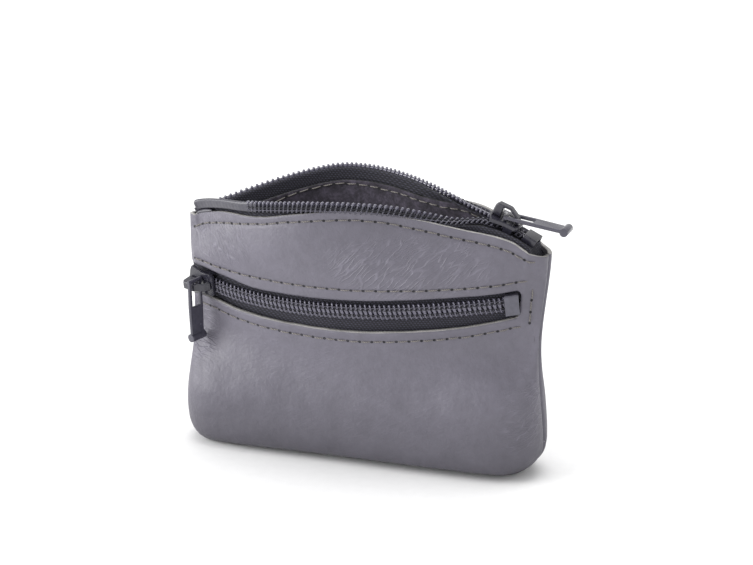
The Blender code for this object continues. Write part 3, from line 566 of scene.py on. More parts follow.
def raw_edge(name, colour):
    """The cut edge of leather: pale, fibrous, in layers."""
    made, shader, add, link, where = material(name, colour, 0.9)
    fibre = noise(add, where, 3200.0, 4.0, Roughness=0.7)
    both = blended(add, 0.5, fibre, noise(add, where, 300.0, 2.0))
    shaded(add, link, shader, both, colour, (0.35, 0.55, 0.5), (0.68, 1.35))
    bumped(add, link, shader, fibre, 0.8, 0.0003)
    return made


def suede(name, colour):
    """Short nap in soft clumps."""
    made, shader, add, link, where = material(name, colour, 0.95)
    nap = noise(add, where, 1300.0, 4.0, Roughness=0.65)
    both = blended(add, 0.55, nap, noise(add, where, 330.0, 4.0))
    shaded(add, link, shader, both, colour, (0.36, 0.42, 0.5), (0.64, 2.1))
    shader.inputs["Sheen Weight"].default_value = 0.08
    shader.inputs["Sheen Roughness"].default_value = 0.5
    bumped(add, link, shader, nap, 0.6, 0.00015)
    return made


def woven(name, colour):
    """Zip tape: a fine herringbone of threads."""
    made, shader, add, link, where = material(name, colour, 0.82)
    bands = []
    for scale, distortion, way in ((620.0, 0.6, "DIAGONAL"), (558.0, 0.8, "Z")):
        inputs = {"Vector": where, "Scale": scale, "Distortion": distortion}
        bands.append(add("ShaderNodeTexWave", inputs, bands_direction=way).outputs["Fac"])
    both = add("ShaderNodeMath", dict(enumerate(bands)), operation="MULTIPLY").outputs[0]
    mixed = blended(add, 0.3, both, noise(add, where, 2400.0, 3.0))
    shaded(add, link, shader, mixed, colour, (0.05, 0.5, 0.35), (0.7, 3.4))
    shader.inputs["Sheen Weight"].default_value = 0.03
    bumped(add, link, shader, mixed, 0.6, 0.00012)
    return made


def moulded(name, colour, roughness, metallic=0.0, coat=0.0):
    """Smooth plastic or enamel with faint colour and gloss changes."""
    made, shader, add, link, where = material(name, colour, roughness, metallic)
    patch = noise(add, where, 900.0, 3.0)
    shaded(add, link, shader, patch, colour, (0.3, 0.86, 0.5), (0.7, 1.14))
    gloss = {"Value": patch, "To Min": roughness - 0.06, "To Max": roughness + 0.08}
    link(add("ShaderNodeMapRange", gloss).outputs["Result"], shader.inputs["Roughness"])
    shader.inputs["Coat Weight"].default_value = coat
    shader.inputs["Coat Roughness"].default_value = 0.2
    bumped(add, link, shader, patch, 0.12, 0.0001)
    return made


def thread(name, colour):
    """Twisted sewing thread."""
    made, shader, add, link, where = material(name, colour, 0.7)
    inputs = {"Vector": where, "Scale": 900.0, "Distortion": 1.0}
    twist = add("ShaderNodeTexWave", inputs, bands_direction="DIAGONAL").outputs["Fac"]
    shaded(add, link, shader, twist, colour, (0.1, 0.62, 0.6), (0.95, 1.25))
    bumped(add, link, shader, twist, 0.5, 0.00012)
    return made


# Zones of creases, in metres: middle across and up, half width, half height, angle in degrees, strength
FRONT_ZONES = (
    (0.016, 0.0545, 0.026, 0.0105, 42, 1.0),
    (-0.036, 0.0560, 0.013, 0.0095, -56, 0.95),
    (0.0445, 0.0180, 0.006, 0.0130, 24, 0.8),
    (-0.043, 0.0300, 0.008, 0.0110, -12, 0.6),
    (0.004, 0.0200, 0.044, 0.0200, 30, 0.12),
)
BACK_ZONES = (
    (-0.018, 0.0560, 0.022, 0.0090, 42, 0.8),
    (0.036, 0.0520, 0.012, 0.0120, -50, 0.6),
    (-0.0445, 0.0200, 0.006, 0.0130, -24, 0.6),
    (0.0, 0.0260, 0.044, 0.0240, 30, 0.15),
)
GREY_LEATHER = leather("leather_grain", (0.123, 0.116, 0.145), FRONT_ZONES)
# The back panel takes a darker copy of the front leather: painted shade.
BACK_LEATHER_PAINTED_SHADE = leather("back_leather_grain_painted_shade", (0.104, 0.099, 0.126), BACK_ZONES)
RAW_EDGE = raw_edge("leather_cut_edge", (0.36, 0.35, 0.34))
FLESH = suede("leather_flesh_side", (0.10, 0.095, 0.11))
LINING_CLOTH = suede("lining_suede", (0.043, 0.037, 0.052))
POCKET_CLOTH = suede("pocket_cloth", (0.035, 0.032, 0.042))
TAPE_CLOTH = woven("tape_weave", (0.014, 0.0135, 0.021))
COIL_PLASTIC = moulded("coil_plastic", (0.092, 0.087, 0.125), 0.20, coat=0.9)
FUSED_PLASTIC = moulded("fused_plastic", (0.034, 0.032, 0.047), 0.34, coat=0.3)
# A darker copy of the coil plastic for the legs of the mouth's rows: painted shade.
COIL_LEG_PAINTED_SHADE = moulded("coil_leg_painted_shade", (0.045, 0.043, 0.064), 0.3, coat=0.4)
COIL_THREAD = thread("coil_thread", (0.012, 0.0115, 0.018))
PALE_THREAD = thread("sewing_thread", (0.10, 0.095, 0.125))
SLIDER_PAINT = moulded("slider_paint", (0.022, 0.021, 0.032), 0.24, 0.0, coat=0.3)
PULL_PAINT = moulded("pull_paint", (0.046, 0.044, 0.064), 0.24, 0.1, coat=0.5)
SPRING_METAL = moulded("spring_metal", (0.32, 0.32, 0.34), 0.3, 0.9)
STOP_PAINT = moulded("stop_paint", (0.066, 0.064, 0.088), 0.18, 0.4, coat=0.9)
STITCH_THREAD = thread("stitch_thread", (0.19, 0.175, 0.165))
# A dark suede for the needle holes and the linings' cut rims: painted shade.
PAINTED_SHADE_DARK = suede("needle_hole_and_rim_painted_shade", (0.02, 0.019, 0.022))
ROW_LOOKS = [COIL_PLASTIC, COIL_THREAD, PALE_THREAD, FUSED_PLASTIC, COIL_LEG_PAINTED_SHADE]


# Leather panels
WINDOW_SHARE = WINDOW_RIGHT / HALF_WIDTH
WINDOW_CORNER = 0.0012
CORNER_SHARE = CORNER_RADIUS / HALF_WIDTH
ROLL_STEPS = 5
BASE_STEPS = 7
STITCH_ABOVE = 0.0021
STITCH_BELOW = 0.0026
STITCH_BESIDE = 0.0016
STITCH_PITCH = 0.0032
STITCH_LONG = 0.0028
SWELL = 0.00030
RIPPLE = 0.00007
STITCH_DENT = 0.00022
STITCH_DENT_WIDTH = 0.0007
LIP_SAG = 0.0008
LOW_ROWS, WINDOW_ROWS, HIGH_ROWS = 72, 14, 46


def window_half(share):
    """Half the window's height, with its rounded right corners."""
    past = np.clip(share * HALF_WIDTH - WINDOW_RIGHT + WINDOW_CORNER, 0, WINDOW_CORNER)
    return WINDOW_HEIGHT / 2 - WINDOW_CORNER + np.sqrt(WINDOW_CORNER**2 - past**2)


def high_lip(share):
    """How far the leather above the window hangs past the part's edge, away from the slider."""
    return LIP_SAG * smooth((share + 0.70) / 0.16) - POCKET_SHIFT(share * HALF_WIDTH)


def low_lip(share):
    return LOW_LIP(share * HALF_WIDTH) + POCKET_SHIFT(share * HALF_WIDTH)


def share_list():
    half = np.linspace(0, 1 - CORNER_SHARE, 66)[:-1]
    half = np.concatenate([half, 1 - CORNER_SHARE * (1 - np.sin(np.linspace(0, math.pi / 2, 30)))])
    half[np.argmin(np.abs(half - WINDOW_SHARE))] = WINDOW_SHARE
    return np.concatenate([-half[:0:-1], half])


def outward(side, share, z, depth=0.0, least=SEAM_ROLL):
    """A point of a layer, and the direction out of it."""
    step = 0.00005
    point = layer_point(side, share, z, depth, least)
    across = layer_point(side, share + step / HALF_WIDTH, z, depth, least) - point
    rising = layer_point(side, share, z + step, depth, least) - point
    normal = np.cross(across, rising) * -side
    return point, normal / np.linalg.norm(normal, axis=-1, keepdims=True)


def line_mouth(drop=0.0):
    """Shares and heights along the line of stitches below the mouth's leather edge."""
    share = np.linspace(-0.975, 0.985, 400)
    return share, lip_edge(share * HALF_WIDTH)[1] - STITCH_DROP(share * HALF_WIDTH) + drop


def line_window(way):
    share = np.linspace(-0.965, WINDOW_SHARE + STITCH_BESIDE / HALF_WIDTH, 400)
    if way > 0:
        lip = STITCH_ABOVE - 0.0007 + 0.3 * POCKET_SHIFT(share * HALF_WIDTH)
    else:
        lip = low_lip(share) - STITCH_BELOW
    return share, window_edge(share, way * WINDOW_HEIGHT / 2 + lip)


def line_jamb():
    low, high = line_window(-1), line_window(1)
    share = np.full(60, low[0][-1])
    return share, np.linspace(low[1][-1], high[1][-1], 60)


def near_line(x, z, line):
    """Distance from points to a line given by shares and heights."""
    lx, lz = line[0] * HALF_WIDTH, line[1]
    best = np.full(x.shape, 1.0)
    for step in range(len(lx) - 1):
        ax, az = lx[step], lz[step]
        bx, bz = lx[step + 1] - ax, lz[step + 1] - az
        t = np.clip(((x - ax) * bx + (z - az) * bz) / (bx * bx + bz * bz), 0, 1)
        best = np.minimum(best, (x - ax - t * bx) ** 2 + (z - az - t * bz) ** 2)
    return np.sqrt(best)


def waves(x, z, scale, seed):
    """A soft uneven field between about -1 and 1."""
    total = 0
    for k in range(6):
        angle = seed * 1.7 + k * 2.4
        rate = 2 * math.pi / (scale * (0.7 + 0.18 * k))
        total = total + np.sin((x * math.cos(angle) + z * math.sin(angle)) * rate + seed * 3.1 + k * 1.3)
    return total / 3.5


def relief(side, x, z):
    """How far the leather stands out of its smooth form: slow waves, and dents along the stitches."""
    lines = [line_mouth()]
    if side < 0:
        lines += [line_window(1), line_window(-1), line_jamb()]
    height = SWELL * waves(x, z, 0.030, 2 + side) + RIPPLE * waves(x, z, 0.009, 5 + side)
    for line in lines:
        coarse = (line[0][::8], line[1][::8])
        height = height - STITCH_DENT * np.exp(-((near_line(x, z, coarse) / STITCH_DENT_WIDTH) ** 2))
    return height


def leather_surface(side, share, z):
    """A point of the worn leather's face, and the direction out of it."""
    point, normal = outward(side, share, z)
    fade = smooth((1 - np.abs(share)) / 0.05) * smooth((z - bottom_edge(share)) / 0.004)
    raised = relief(side, share * HALF_WIDTH + 0 * z, z + 0 * share) * fade
    return point + normal * raised[..., None], normal


def panel_grids(side):
    """Outer and inner points of a leather panel, and which of its cells are there."""
    shares = share_list()
    s = shares[:, None]
    up = window_half(s) if side < 0 else WINDOW_HEIGHT / 2 + 0 * s
    low_z, high_z = window_edge(s, -up + low_lip(s)), window_edge(s, up - high_lip(s))
    base_z, top_z = bottom_edge(s), lip_edge(s * HALF_WIDTH)[1]
    low = base_z + (low_z - base_z) * np.linspace(0, 1, LOW_ROWS)[None] ** 1.5
    mid = low_z + (high_z - low_z) * np.linspace(0, 1, WINDOW_ROWS)[None, 1:-1]
    high = high_z + (top_z - high_z) * np.linspace(0, 1, HIGH_ROWS)[None]
    z = np.concatenate([low, mid, high], axis=1)
    grid, normal = leather_surface(side, s + 0 * z, z)
    past = np.clip(np.abs(shares) * HALF_WIDTH - HALF_WIDTH + CORNER_RADIUS, 0, None) / CORNER_RADIUS
    inward = vec(-np.sign(shares) * past, 0 * past, np.sqrt(np.clip(1 - past**2, 0, 1)))
    seam = seam_shift(shares, bottom_edge(shares))
    foot = grid[:, 0]
    edge_half = side * (foot[:, 1] - seam)
    rows = []
    turn = np.linspace(math.pi / 2, 0, ROLL_STEPS + 1)
    for angle in turn[:-1]:
        row = foot + inward * SEAM_TUCK * (1 - math.cos(angle))
        row[:, 1] = seam + side * SEAM_ROLL * (1 - math.sin(angle))
        rows.append(row)
    for share in np.linspace(0, 1, BASE_STEPS)[:-1]:
        row = foot.copy()
        row[:, 1] = seam + side * mix(SEAM_ROLL, edge_half, share)
        rows.append(row)
    grid = np.concatenate([np.stack(rows, axis=1), grid], axis=1)
    sides = []
    for column in (0, -1):
        edge = grid[column]
        middle = seam_shift(shares[column], edge[:, 2])
        made = []
        for angle in turn[:-1]:
            copy = edge.copy()
            copy[:, 0] -= np.sign(shares[column]) * SEAM_TUCK * (1 - math.cos(angle))
            copy[:, 1] = middle + (copy[:, 1] - middle) * (1 - math.sin(angle))
            made.append(copy)
        sides.append(np.stack(made))
    grid = np.concatenate([sides[0], grid, sides[1][::-1]], axis=0)
    normal = normals_of(grid) * -side
    thick = np.full(grid.shape[:2], LEATHER)
    roll = ROLL_STEPS
    thick[:roll] = thick[-roll:] = thick[:, :roll] = LEATHER * 0.25
    inner = grid - normal * thick[..., None]
    keep = np.ones((grid.shape[0] - 1, grid.shape[1] - 1), bool)
    if side < 0:
        first = ROLL_STEPS + BASE_STEPS + LOW_ROWS - 2
        right = ROLL_STEPS + int(np.argmin(np.abs(shares - WINDOW_SHARE)))
        keep[:right, first : first + WINDOW_ROWS - 1] = False
    return grid, inner, keep


def leather_panel(name, side, node):
    outer, inner, keep = panel_grids(side)
    looks = [GREY_LEATHER if side < 0 else BACK_LEATHER_PAINTED_SHADE, RAW_EDGE, FLESH]
    item = shell(name, outer, inner, looks, keep, turned=side > 0)
    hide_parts(node)
    mouth_blend(item)


def mouth_blend(item):
    """Bakes the object's transform into its mesh."""
    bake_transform(item)


# Stitches
STITCH_HIGH = 0.00030
STITCH_SUNK = 0.00024
STITCH_THIN = 0.00012
STITCH_SWELL = 0.00006
HOLE_AWAY = 0.0002
HOLE_LONG = 0.00040
HOLE_WIDE = 0.00034
HOLE_RIM = 0.00011
HOLE_BOTTOM = 0.00004
HOLE_SIDES = 12


def ring_faces(count, sides):
    """Faces of a tube of rings, closed at both ends."""
    index = np.arange(count * sides).reshape(count, sides)
    after = np.roll(index, -1, axis=1)
    faces = np.stack([index[:-1], after[:-1], after[1:], index[1:]], axis=-1).reshape(-1, 4).tolist()
    return faces + [index[0, ::-1].tolist(), index[-1].tolist()]


def tube_mesh(points, radii, sides):
    """Points and faces of a tube along a line of points."""
    points = np.asarray(points, float)
    count = len(points)
    ways = np.gradient(points, axis=0)
    ways /= np.linalg.norm(ways, axis=1, keepdims=True)
    normal = np.cross(ways[0], (0.31, 0.52, 0.79))
    frames = []
    for way in ways:
        normal = normal - way * normal.dot(way)
        normal /= np.linalg.norm(normal)
        frames.append((normal, np.cross(way, normal)))
    frames = np.array(frames)
    angle = np.linspace(0, 2 * math.pi, sides, endpoint=False)
    first, second = frames[:, 0][:, None], frames[:, 1][:, None]
    ring = np.cos(angle)[None, :, None] * first + np.sin(angle)[None, :, None] * second
    rings = points[:, None] + ring * np.broadcast_to(radii, count)[:, None, None]
    return rings.reshape(-1, 3), ring_faces(count, sides)


def merged(name, parts, materials):
    """One object of many small meshes, each (points, faces, material slot)."""
    points, faces, slots, offset = [], [], [], 0
    for part_points, part_faces, slot in parts:
        points.append(part_points)
        faces += [[index + offset for index in face] for face in part_faces]
        slots += slot if isinstance(slot, list) else [slot] * len(part_faces)
        offset += len(part_points)
    return mesh_object(name, np.concatenate(points), faces, materials, slots)


def stitch_parts(side, line, depth=0.0, flip=1, start=0.0008, end=0.0004):
    """Thread arches, and needle holes drawn as dark discs of painted shade, along a line on a layer."""
    share, z = line
    if depth == 0:
        point, normal = leather_surface(side, share, z)
    else:
        point, normal = outward(side, share, z, depth, SEAM_HALF)
    normal = normal * flip
    run = np.concatenate([[0], np.cumsum(np.linalg.norm(np.diff(point, axis=0), axis=1))])
    count = int((run[-1] - start - end) / STITCH_PITCH)
    parts = []

    def at(where, values):
        return np.stack([np.interp(where, run, values[:, axis]) for axis in range(3)], axis=-1)

    for step in range(count):
        first = start + step * STITCH_PITCH
        wobble = 0.00006 * math.sin(step * 2.1)
        part = np.linspace(0, 1, 9)
        where = first + part * STITCH_LONG
        hump = np.sin(np.pi * part)
        height = -STITCH_SUNK + (STITCH_HIGH + 0.00014) * hump**0.6
        along = at(where, point) + at(where, normal) * height[:, None]
        sideways = np.cross(at(where, normal), np.gradient(along, axis=0))
        sideways /= np.linalg.norm(sideways, axis=1, keepdims=True)
        along = along + sideways * (wobble + 0.00010 * (part - 0.5))[:, None]
        tube = tube_mesh(along, STITCH_THIN + STITCH_SWELL * hump, 8)
        parts.append((*tube, 0))
        # Each needle hole is a shallow dark disc: painted shade.
        hole = first - HOLE_AWAY if step else first
        centre, up = at(np.array([hole]), point)[0], at(np.array([hole]), normal)[0]
        way = at(np.array([hole + 0.0001]), point)[0] - centre
        way /= np.linalg.norm(way)
        across = np.cross(up, way)
        angle = np.linspace(0, 2 * math.pi, HOLE_SIDES, endpoint=False)[:, None]
        ring = centre + way * np.cos(angle) * HOLE_LONG + across * np.sin(angle) * HOLE_WIDE + up * HOLE_RIM
        faces = [[k, (k + 1) % HOLE_SIDES, HOLE_SIDES] for k in range(HOLE_SIDES)]
        parts.append((np.concatenate([ring, [centre + up * HOLE_BOTTOM]]), faces, 1))
    return parts


def stitches(name, parts, mouth=None):
    item = merged(name, parts, [STITCH_THREAD, PAINTED_SHADE_DARK])
    if mouth:
        mouth_blend(item)
    else:
        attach(item, "purse")


# Zip rows: a wire coil, its core cord and sewing threads
WIRE = 0.00025
WIRE_SIDES = 7
CORD = 0.00038
STANDING_CORD = 0.00046
ROW_THREAD = 0.00011
FOLD = 0.00068
FUSED_MIDDLE = 0.00075
FUSED_HALF = 0.00132
FUSED_LEVEL = 0.00066
# One turn of wire, in millimetres: along the row, across it and level
TURN = (
    (-0.42, -1.55, 0.33), (-0.31, -0.95, 0.35), (-0.19, -0.25, 0.35), (-0.11, 0.22, 0.33),
    (-0.06, 0.50, 0.20), (0.0, 0.58, 0.0), (0.06, 0.50, -0.20), (0.11, 0.22, -0.33),
    (0.19, -0.25, -0.35), (0.31, -0.95, -0.35), (0.42, -1.55, -0.33), (0.50, -1.79, -0.20),
    (0.625, -1.87, 0.0), (0.75, -1.79, 0.20),
)


def rounded_path(points, steps):
    """Points along a smooth line through the given ones."""
    points = np.asarray(points, float)
    before, after = np.roll(points, 1, axis=0), np.roll(points, -1, axis=0)
    before[0], after[-1] = points[0], points[-1]
    slopes = (after - before) / 2
    made = []
    for t in np.arange(steps) / steps:
        made.append(
            points[:-1] * (2 * t**3 - 3 * t**2 + 1)
            + slopes[:-1] * (t**3 - 2 * t**2 + t)
            + points[1:] * (-2 * t**3 + 3 * t**2)
            + slopes[1:] * (t**3 - t**2)
        )
    return np.concatenate([np.stack(made, axis=1).reshape(-1, points.shape[1]), points[-1:]])


def coil_parts(place, tooth, first, last, fused, slant, way=1, filler=(-0.00085, 1), leg=0):
    """Wire turns from first to last, a cord and threads along them, and a fused end where one is given."""
    low = int(math.ceil((first - tooth) / PITCH))
    high = int(math.floor((last - tooth) / PITCH))
    path = []
    for step in range(low, high + 1):
        wobble = 1 + 0.03 * math.sin(step * 2.7)
        path += [
            (tooth + step * PITCH + (a + slant * min(b, 0)) / 1000, b / 1000 * wobble, way * c / 1000)
            for a, b, c in TURN
        ]
    path = rounded_path(path, 2)
    radii = WIRE * (1 + 0.52 * smooth((path[:, 1] - 0.0001) / 0.0004))
    # Painted shade: given a leg slot, the legs take a darker copy of the coil plastic and the heads the lit
    # one.
    wire_slots = np.repeat(np.where(path[:-1, 1] > 0.0001, 0, leg), WIRE_SIDES).tolist() + [0, 0]
    parts = [(*tube_mesh(place(*path.T), radii, WIRE_SIDES), wire_slots)]
    along = np.arange(path[0, 0], path[-1, 0], PITCH / 6)
    ripple = np.cos((along - tooth) * 2 * math.pi / PITCH)
    raised, cord = 0, CORD
    if len(filler) > 2:
        raised, cord = filler[2] * standing(ARCH_RADIUS * np.sin(along / ARCH_RADIUS)), STANDING_CORD
    core = place(along, filler[0] + raised + 0 * along, 0 * along)
    parts.append((*tube_mesh(core, cord, 8), filler[1]))
    for across in (-0.00132, -0.00062):
        for level in (1, -1):
            thread_line = place(along, across + 0 * along, level * (0.00056 + 0.00009 * ripple))
            parts.append((*tube_mesh(thread_line, ROW_THREAD, 6), 2 if across < -0.001 else 1))
    if fused is not None:
        start, reach = fused
        runs = np.linspace(start, reach, 90)
        t = np.linspace(0, 2 * math.pi, 28, endpoint=False)
        cap = np.sqrt(np.clip(1 - (1 - np.clip((runs - start) / 0.0010, 0, 1)) ** 2, 0.05, 1))
        thin = mix(1, 0.55, smooth((runs - reach + 0.0060) / 0.0050)) * cap
        thin = thin * (1 + 0.03 * np.sin(runs * 5200) + 0.02 * np.sin(runs * 2100 + 1))
        ring_a = -FUSED_MIDDLE + FUSED_HALF * np.sign(np.cos(t)) * np.abs(np.cos(t)) ** 0.75
        ring_l = FUSED_LEVEL * np.sign(np.sin(t)) * np.abs(np.sin(t)) ** 0.8
        across = -FUSED_MIDDLE + (ring_a[None] + FUSED_MIDDLE) * cap[:, None]
        level = ring_l[None] * thin[:, None]
        points = place(runs[:, None] + 0 * across, across, level)
        parts.append((points.reshape(-1, 3), ring_faces(*points.shape[:2]), 3))
    return parts


MOUTH_REACH = ARCH_RADIUS * math.asin(ARCH_HALF_CHORD / ARCH_RADIUS)
MEETING = ARCH_RADIUS * math.asin(ROWS_MEET_X / ARCH_RADIUS)


def mouth_coil(name, side, node, phase, fused_to):
    def place(along, across, level):
        return row_point(side, ARCH_RADIUS * np.sin(along / ARCH_RADIUS), across, level)

    last = MOUTH_REACH - 0.0030
    start = ARCH_RADIUS * math.asin(fused_to / ARCH_RADIUS)
    fused = (0.0006 - MOUTH_REACH, start + 0.0030)
    filler = (-0.00085, 1) if side < 0 else (-0.0005, 0, 0.00046)
    parts = coil_parts(place, MEETING + phase * PITCH, start, last, fused, 0.10, filler=filler, leg=4)
    if side < 0:
        along = np.linspace(0.0004 - MOUTH_REACH, 0.0062 - MOUTH_REACH, 26)
        grow = np.sin(np.linspace(0.15, math.pi - 0.1, 26)) ** 0.5
        fold = place(along, -0.0028 + 0 * along, 0.0001 + 0 * along)
        parts.append((*tube_mesh(fold, FOLD * grow, 12), 3))
    item = merged(name, parts, ROW_LOOKS)
    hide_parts(node)
    mouth_blend(item)


def pocket_blend(item):
    """Bakes the object's transform into its mesh."""
    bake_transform(item)


def pocket_coil(name, side, node, phase):
    def place(along, across, level):
        chord = FRONT_RADIUS * np.sin(along / FRONT_RADIUS)
        return front_point(chord, level, POCKET_SHIFT(chord) - side * across)

    start = FRONT_SLIDER_X - SLIDER_LENGTH / 2 + WEDGE_LENGTH + RUNNING
    first = FRONT_RADIUS * math.asin(start / FRONT_RADIUS)
    last = FRONT_RADIUS * math.asin(FRONT_STOP_X / FRONT_RADIUS)
    parts = coil_parts(place, phase * PITCH, first, last, None, -0.12, way=side)
    item = merged(name, parts, ROW_LOOKS)
    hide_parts(node)
    pocket_blend(item)


# Tapes
HEMS = (0.0056, 0.0028, 0.0)
TUCKED = 0.0036
LAPPED = 0.0004
BAND_STEPS = 3


def banded(lines):
    """A grid from lines of points, with steps added between them."""
    made = []
    for line, after in zip(lines, lines[1:]):
        made += [mix(line, after, step / BAND_STEPS) for step in range(BAND_STEPS)]
    return np.stack([*made, lines[-1]], axis=1)


def strip(name, grid, flip):
    normal = normals_of(grid) * (-1 if flip else 1)
    return shell(name, grid + normal * TAPE / 2, grid - normal * TAPE / 2, [TAPE_CLOTH] * 3, turned=flip)


def mouth_tape(name, side, node):
    share = np.linspace(-0.978 if side > 0 else -0.957, 0.975, 193)
    x = share * HALF_WIDTH
    edge = lip_edge(x)[1]
    least = TAPE / 2 + SEAM_HALF
    hems = [layer_point(side, share, edge - drop, UNDER_LEATHER, least) for drop in HEMS]
    lying = FLAT_LEATHER_HALF - UNDER_LEATHER - np.minimum(mouth_half(x), ROW_SPREAD)
    reach = -mix(lying, STANDING_TAPE + TAPE, standing(x))
    turn = lip_point(side, x, reach, TAPE_LEVEL)
    turn[..., 2] += (ROW_SHIFT[side](x) + LEATHER_SHIFT[side](x)) / 2
    beside = row_point(side, x, -STANDING_TAPE, TAPE_LEVEL)
    tucked = TUCKED * smooth((x - 0.0446) / 0.0022)
    bare = -0.00006 * standing(x) if side > 0 else 0
    lapped = LAPPED * smooth((x - 0.0443) / 0.0006)
    inner = row_point(side, x, lapped - 0.00012 - bare, TAPE_LEVEL)
    for line in (turn, beside, inner):
        line[..., 2] -= tucked
    grid = banded([*hems, turn, beside, inner])
    item = strip(name, grid, side > 0)
    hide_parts(node)
    mouth_blend(item)


def pocket_tape(name, side, node):
    left, right = np.linspace(-0.985, WINDOW_SHARE, 170), np.linspace(WINDOW_SHARE, 0.985, 9)
    share = np.concatenate([left, right[1:]])
    x = share * HALF_WIDTH
    chord = np.clip(x, -FRONT_HALF_CHORD, FRONT_HALF_CHORD)
    apart = np.where(x > -0.0448, TAPE_EDGE, WEDGE_HALF + RUNNING)
    ways = [apart, apart + 0.0012, 0.0031 + 0 * apart, WINDOW_HEIGHT / 2 + 0 * apart]
    lines = [front_point(chord, TAPE_LEVEL, POCKET_SHIFT(chord) + side * way) for way in ways]
    z = window_edge(share, side * (WINDOW_HEIGHT / 2 + LEATHER_PAST_TAPE))
    lines.append(layer_point(-1, share, z, UNDER_LEATHER, TAPE / 2 + SEAM_HALF))
    item = strip(name, banded(lines), side < 0)
    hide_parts(node)
    pocket_blend(item)


# Linings and the pocket's bag
LINING_SLACK = 0.00035
BAG_CLOTH = 0.0003


def lining(name, side, node):
    s = np.linspace(-WINDOW_SHARE, WINDOW_SHARE, 121)[:, None]
    low = bottom_edge(s, MOUTH_LINING_DEPTH)
    high = lip_edge(s * HALF_WIDTH)[1] - 0.0002
    z = low + (high - low) * (1 - (1 - np.linspace(0, 1, 70)[None]) ** 1.2)
    depth = MOUTH_LINING_DEPTH + 0 * z
    if side < 0:
        rise = smooth((z - window_edge(s, WINDOW_HEIGHT)) / LINING_BLEND)
        depth = mix(FRONT_LINING_DEPTH, MOUTH_LINING_DEPTH, rise)
    outer = layer_point(side, s + 0 * z, z, depth, SEAM_HALF + LINING)
    inner = layer_point(side, s + 0 * z, z, depth + LINING, SEAM_HALF)
    slack = LINING_SLACK * waves(outer[..., 0], outer[..., 2], 0.017, 9 + side)
    below, within = smooth((high - 0.0030 - z) / 0.010), smooth((0.93 - np.abs(s)) / 0.1)
    slack = slack * below * smooth((z - low - 0.004) / 0.006) * within
    for face in (outer, inner):
        face[..., 1] -= side * (slack + LINING_SLACK * below * within)
    # The lining's cut rim takes the dark suede: painted shade.
    item = shell(name, outer, inner, [LINING_CLOTH, PAINTED_SHADE_DARK, LINING_CLOTH], turned=side > 0)
    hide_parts(node)
    mouth_blend(item)


def pocket_bag(name, node, depth, top, drop):
    s = np.linspace(-0.76, 0.76, 61)[:, None]
    low = bottom_edge(s, MOUTH_LINING_DEPTH) + BELLY_HEIGHT
    high = top(s) - drop
    z = low + (high - low) * np.linspace(0, 1, 30)[None]
    outer = layer_point(-1, s + 0 * z, z, depth, SEAM_HALF)
    inner = layer_point(-1, s + 0 * z, z, depth + BAG_CLOTH, SEAM_HALF)
    item = shell(name, outer, inner, [POCKET_CLOTH] * 3)
    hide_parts(node)
    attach(item, "purse")


# Cast pieces: sliders, pulls and stops with their edges rounded
def cast_piece(node, look):
    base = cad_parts[node]
    mesh = base.data.copy()
    mesh.transform(base.matrix_world)
    item = bpy.data.objects.new(f"{node}_cast", mesh)
    bpy.context.scene.collection.objects.link(item)
    weld = item.modifiers.new("weld", "WELD")
    weld.merge_threshold = 0.000004
    bevel = item.modifiers.new("round", "BEVEL")
    bevel.width = 0.00014 if "spring" not in node else 0.00005
    bevel.segments = 3
    bevel.limit_method = "ANGLE"
    bevel.angle_limit = math.radians(28)
    bevel.use_clamp_overlap = True
    graph = bpy.context.evaluated_depsgraph_get()
    made = bpy.data.meshes.new_from_object(item.evaluated_get(graph))
    item.modifiers.clear()
    item.data = made
    made.materials.clear()
    made.materials.append(look)
    made.polygons.foreach_set("material_index", np.zeros(len(made.polygons), np.int32))
    made.shade_smooth()
    made.set_sharp_from_angle(angle=math.radians(40))
    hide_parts(node)
    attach(item, RIDES[node])
    for start, slot in SLOTS:
        if start in node:
            break


RIDES = {
    "main_end_stop": "purse",
    "front_end_stop": "purse",
    "main_slider_pull": "main_pull",
    "front_slider_pull": "front_pull",
}
for part in ("body", "cover", "lock_spring"):
    for zip_name in ("main", "front"):
        RIDES[f"{zip_name}_slider_{part}"] = f"{zip_name}_slider"
SLOTS = (
    ("stop", "stop_metal"),
    ("spring", "spring_steel"),
    ("pull", "pull_enamel"),
    ("slider", "slider_enamel"),
)

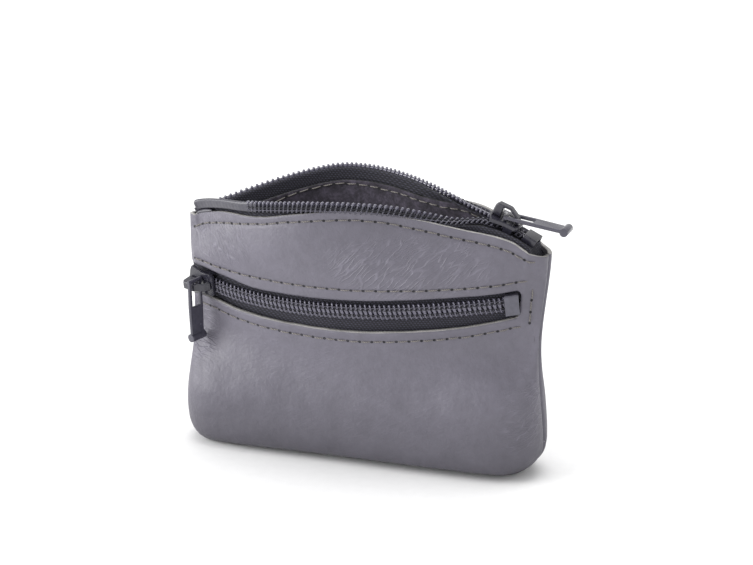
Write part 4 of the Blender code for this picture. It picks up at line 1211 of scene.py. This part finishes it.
add_camera()
add_studio()
leather_panel("front_leather", -1, "front_panel")
leather_panel("back_leather", 1, "back_panel")
stitches("mouth_stitches_front", stitch_parts(-1, line_mouth()), "mouth_front")
stitches("mouth_stitches_back", stitch_parts(1, line_mouth()), "mouth_back")
for side, mouth in ((-1, "mouth_front"), (1, "mouth_back")):
    share, z = line_mouth(0.0009)
    inside = np.abs(share) < WINDOW_SHARE - 0.01
    parts = stitch_parts(side, (share[inside], z[inside]), MOUTH_LINING_DEPTH + LINING, flip=-1)
    stitches(f"lining_stitches_{mouth[6:]}", parts, mouth)
window_parts = stitch_parts(-1, line_window(1)) + stitch_parts(-1, line_window(-1))
window_parts += stitch_parts(-1, line_jamb(), start=0.0010, end=0.0010)
stitches("pocket_stitches", window_parts)
for side, facing in ((-1, "front"), (1, "back")):
    phase, fused_to = (0, -0.0270) if side < 0 else (0.5, -0.0415)
    mouth_coil(f"mouth_coil_{facing}", side, f"main_coil_{facing}", phase, fused_to)
    mouth_tape(f"mouth_tape_{facing}", side, f"main_tape_{facing}")
    lining(f"{facing}_suede", side, f"{facing}_lining")
for side, level in ((-1, "lower"), (1, "upper")):
    phase = 0 if side < 0 else 0.5
    pocket_coil(f"pocket_coil_{level}", side, f"front_coil_{level}", phase)
    pocket_tape(f"pocket_tape_{level}", side, f"front_tape_{level}")
pocket_bag("bag_front", "pocket_bag_front", 0.0023, lambda s: window_edge(s, -WINDOW_HEIGHT / 2), 0.0008)
pocket_bag(
    "bag_back",
    "pocket_bag_back",
    0.0032,
    lambda s: mix(window_edge(s, WINDOW_HEIGHT / 2), lip_edge(s * HALF_WIDTH)[1], 0.26),
    0.0,
)
cast_piece("main_end_stop", SLIDER_PAINT)
cast_piece("front_end_stop", STOP_PAINT)
for zip_name in ("main", "front"):
    cast_piece(f"{zip_name}_slider_body", SLIDER_PAINT)
    cast_piece(f"{zip_name}_slider_cover", SLIDER_PAINT)
    cast_piece(f"{zip_name}_slider_lock_spring", SPRING_METAL)
    cast_piece(f"{zip_name}_slider_pull", PULL_PAINT)
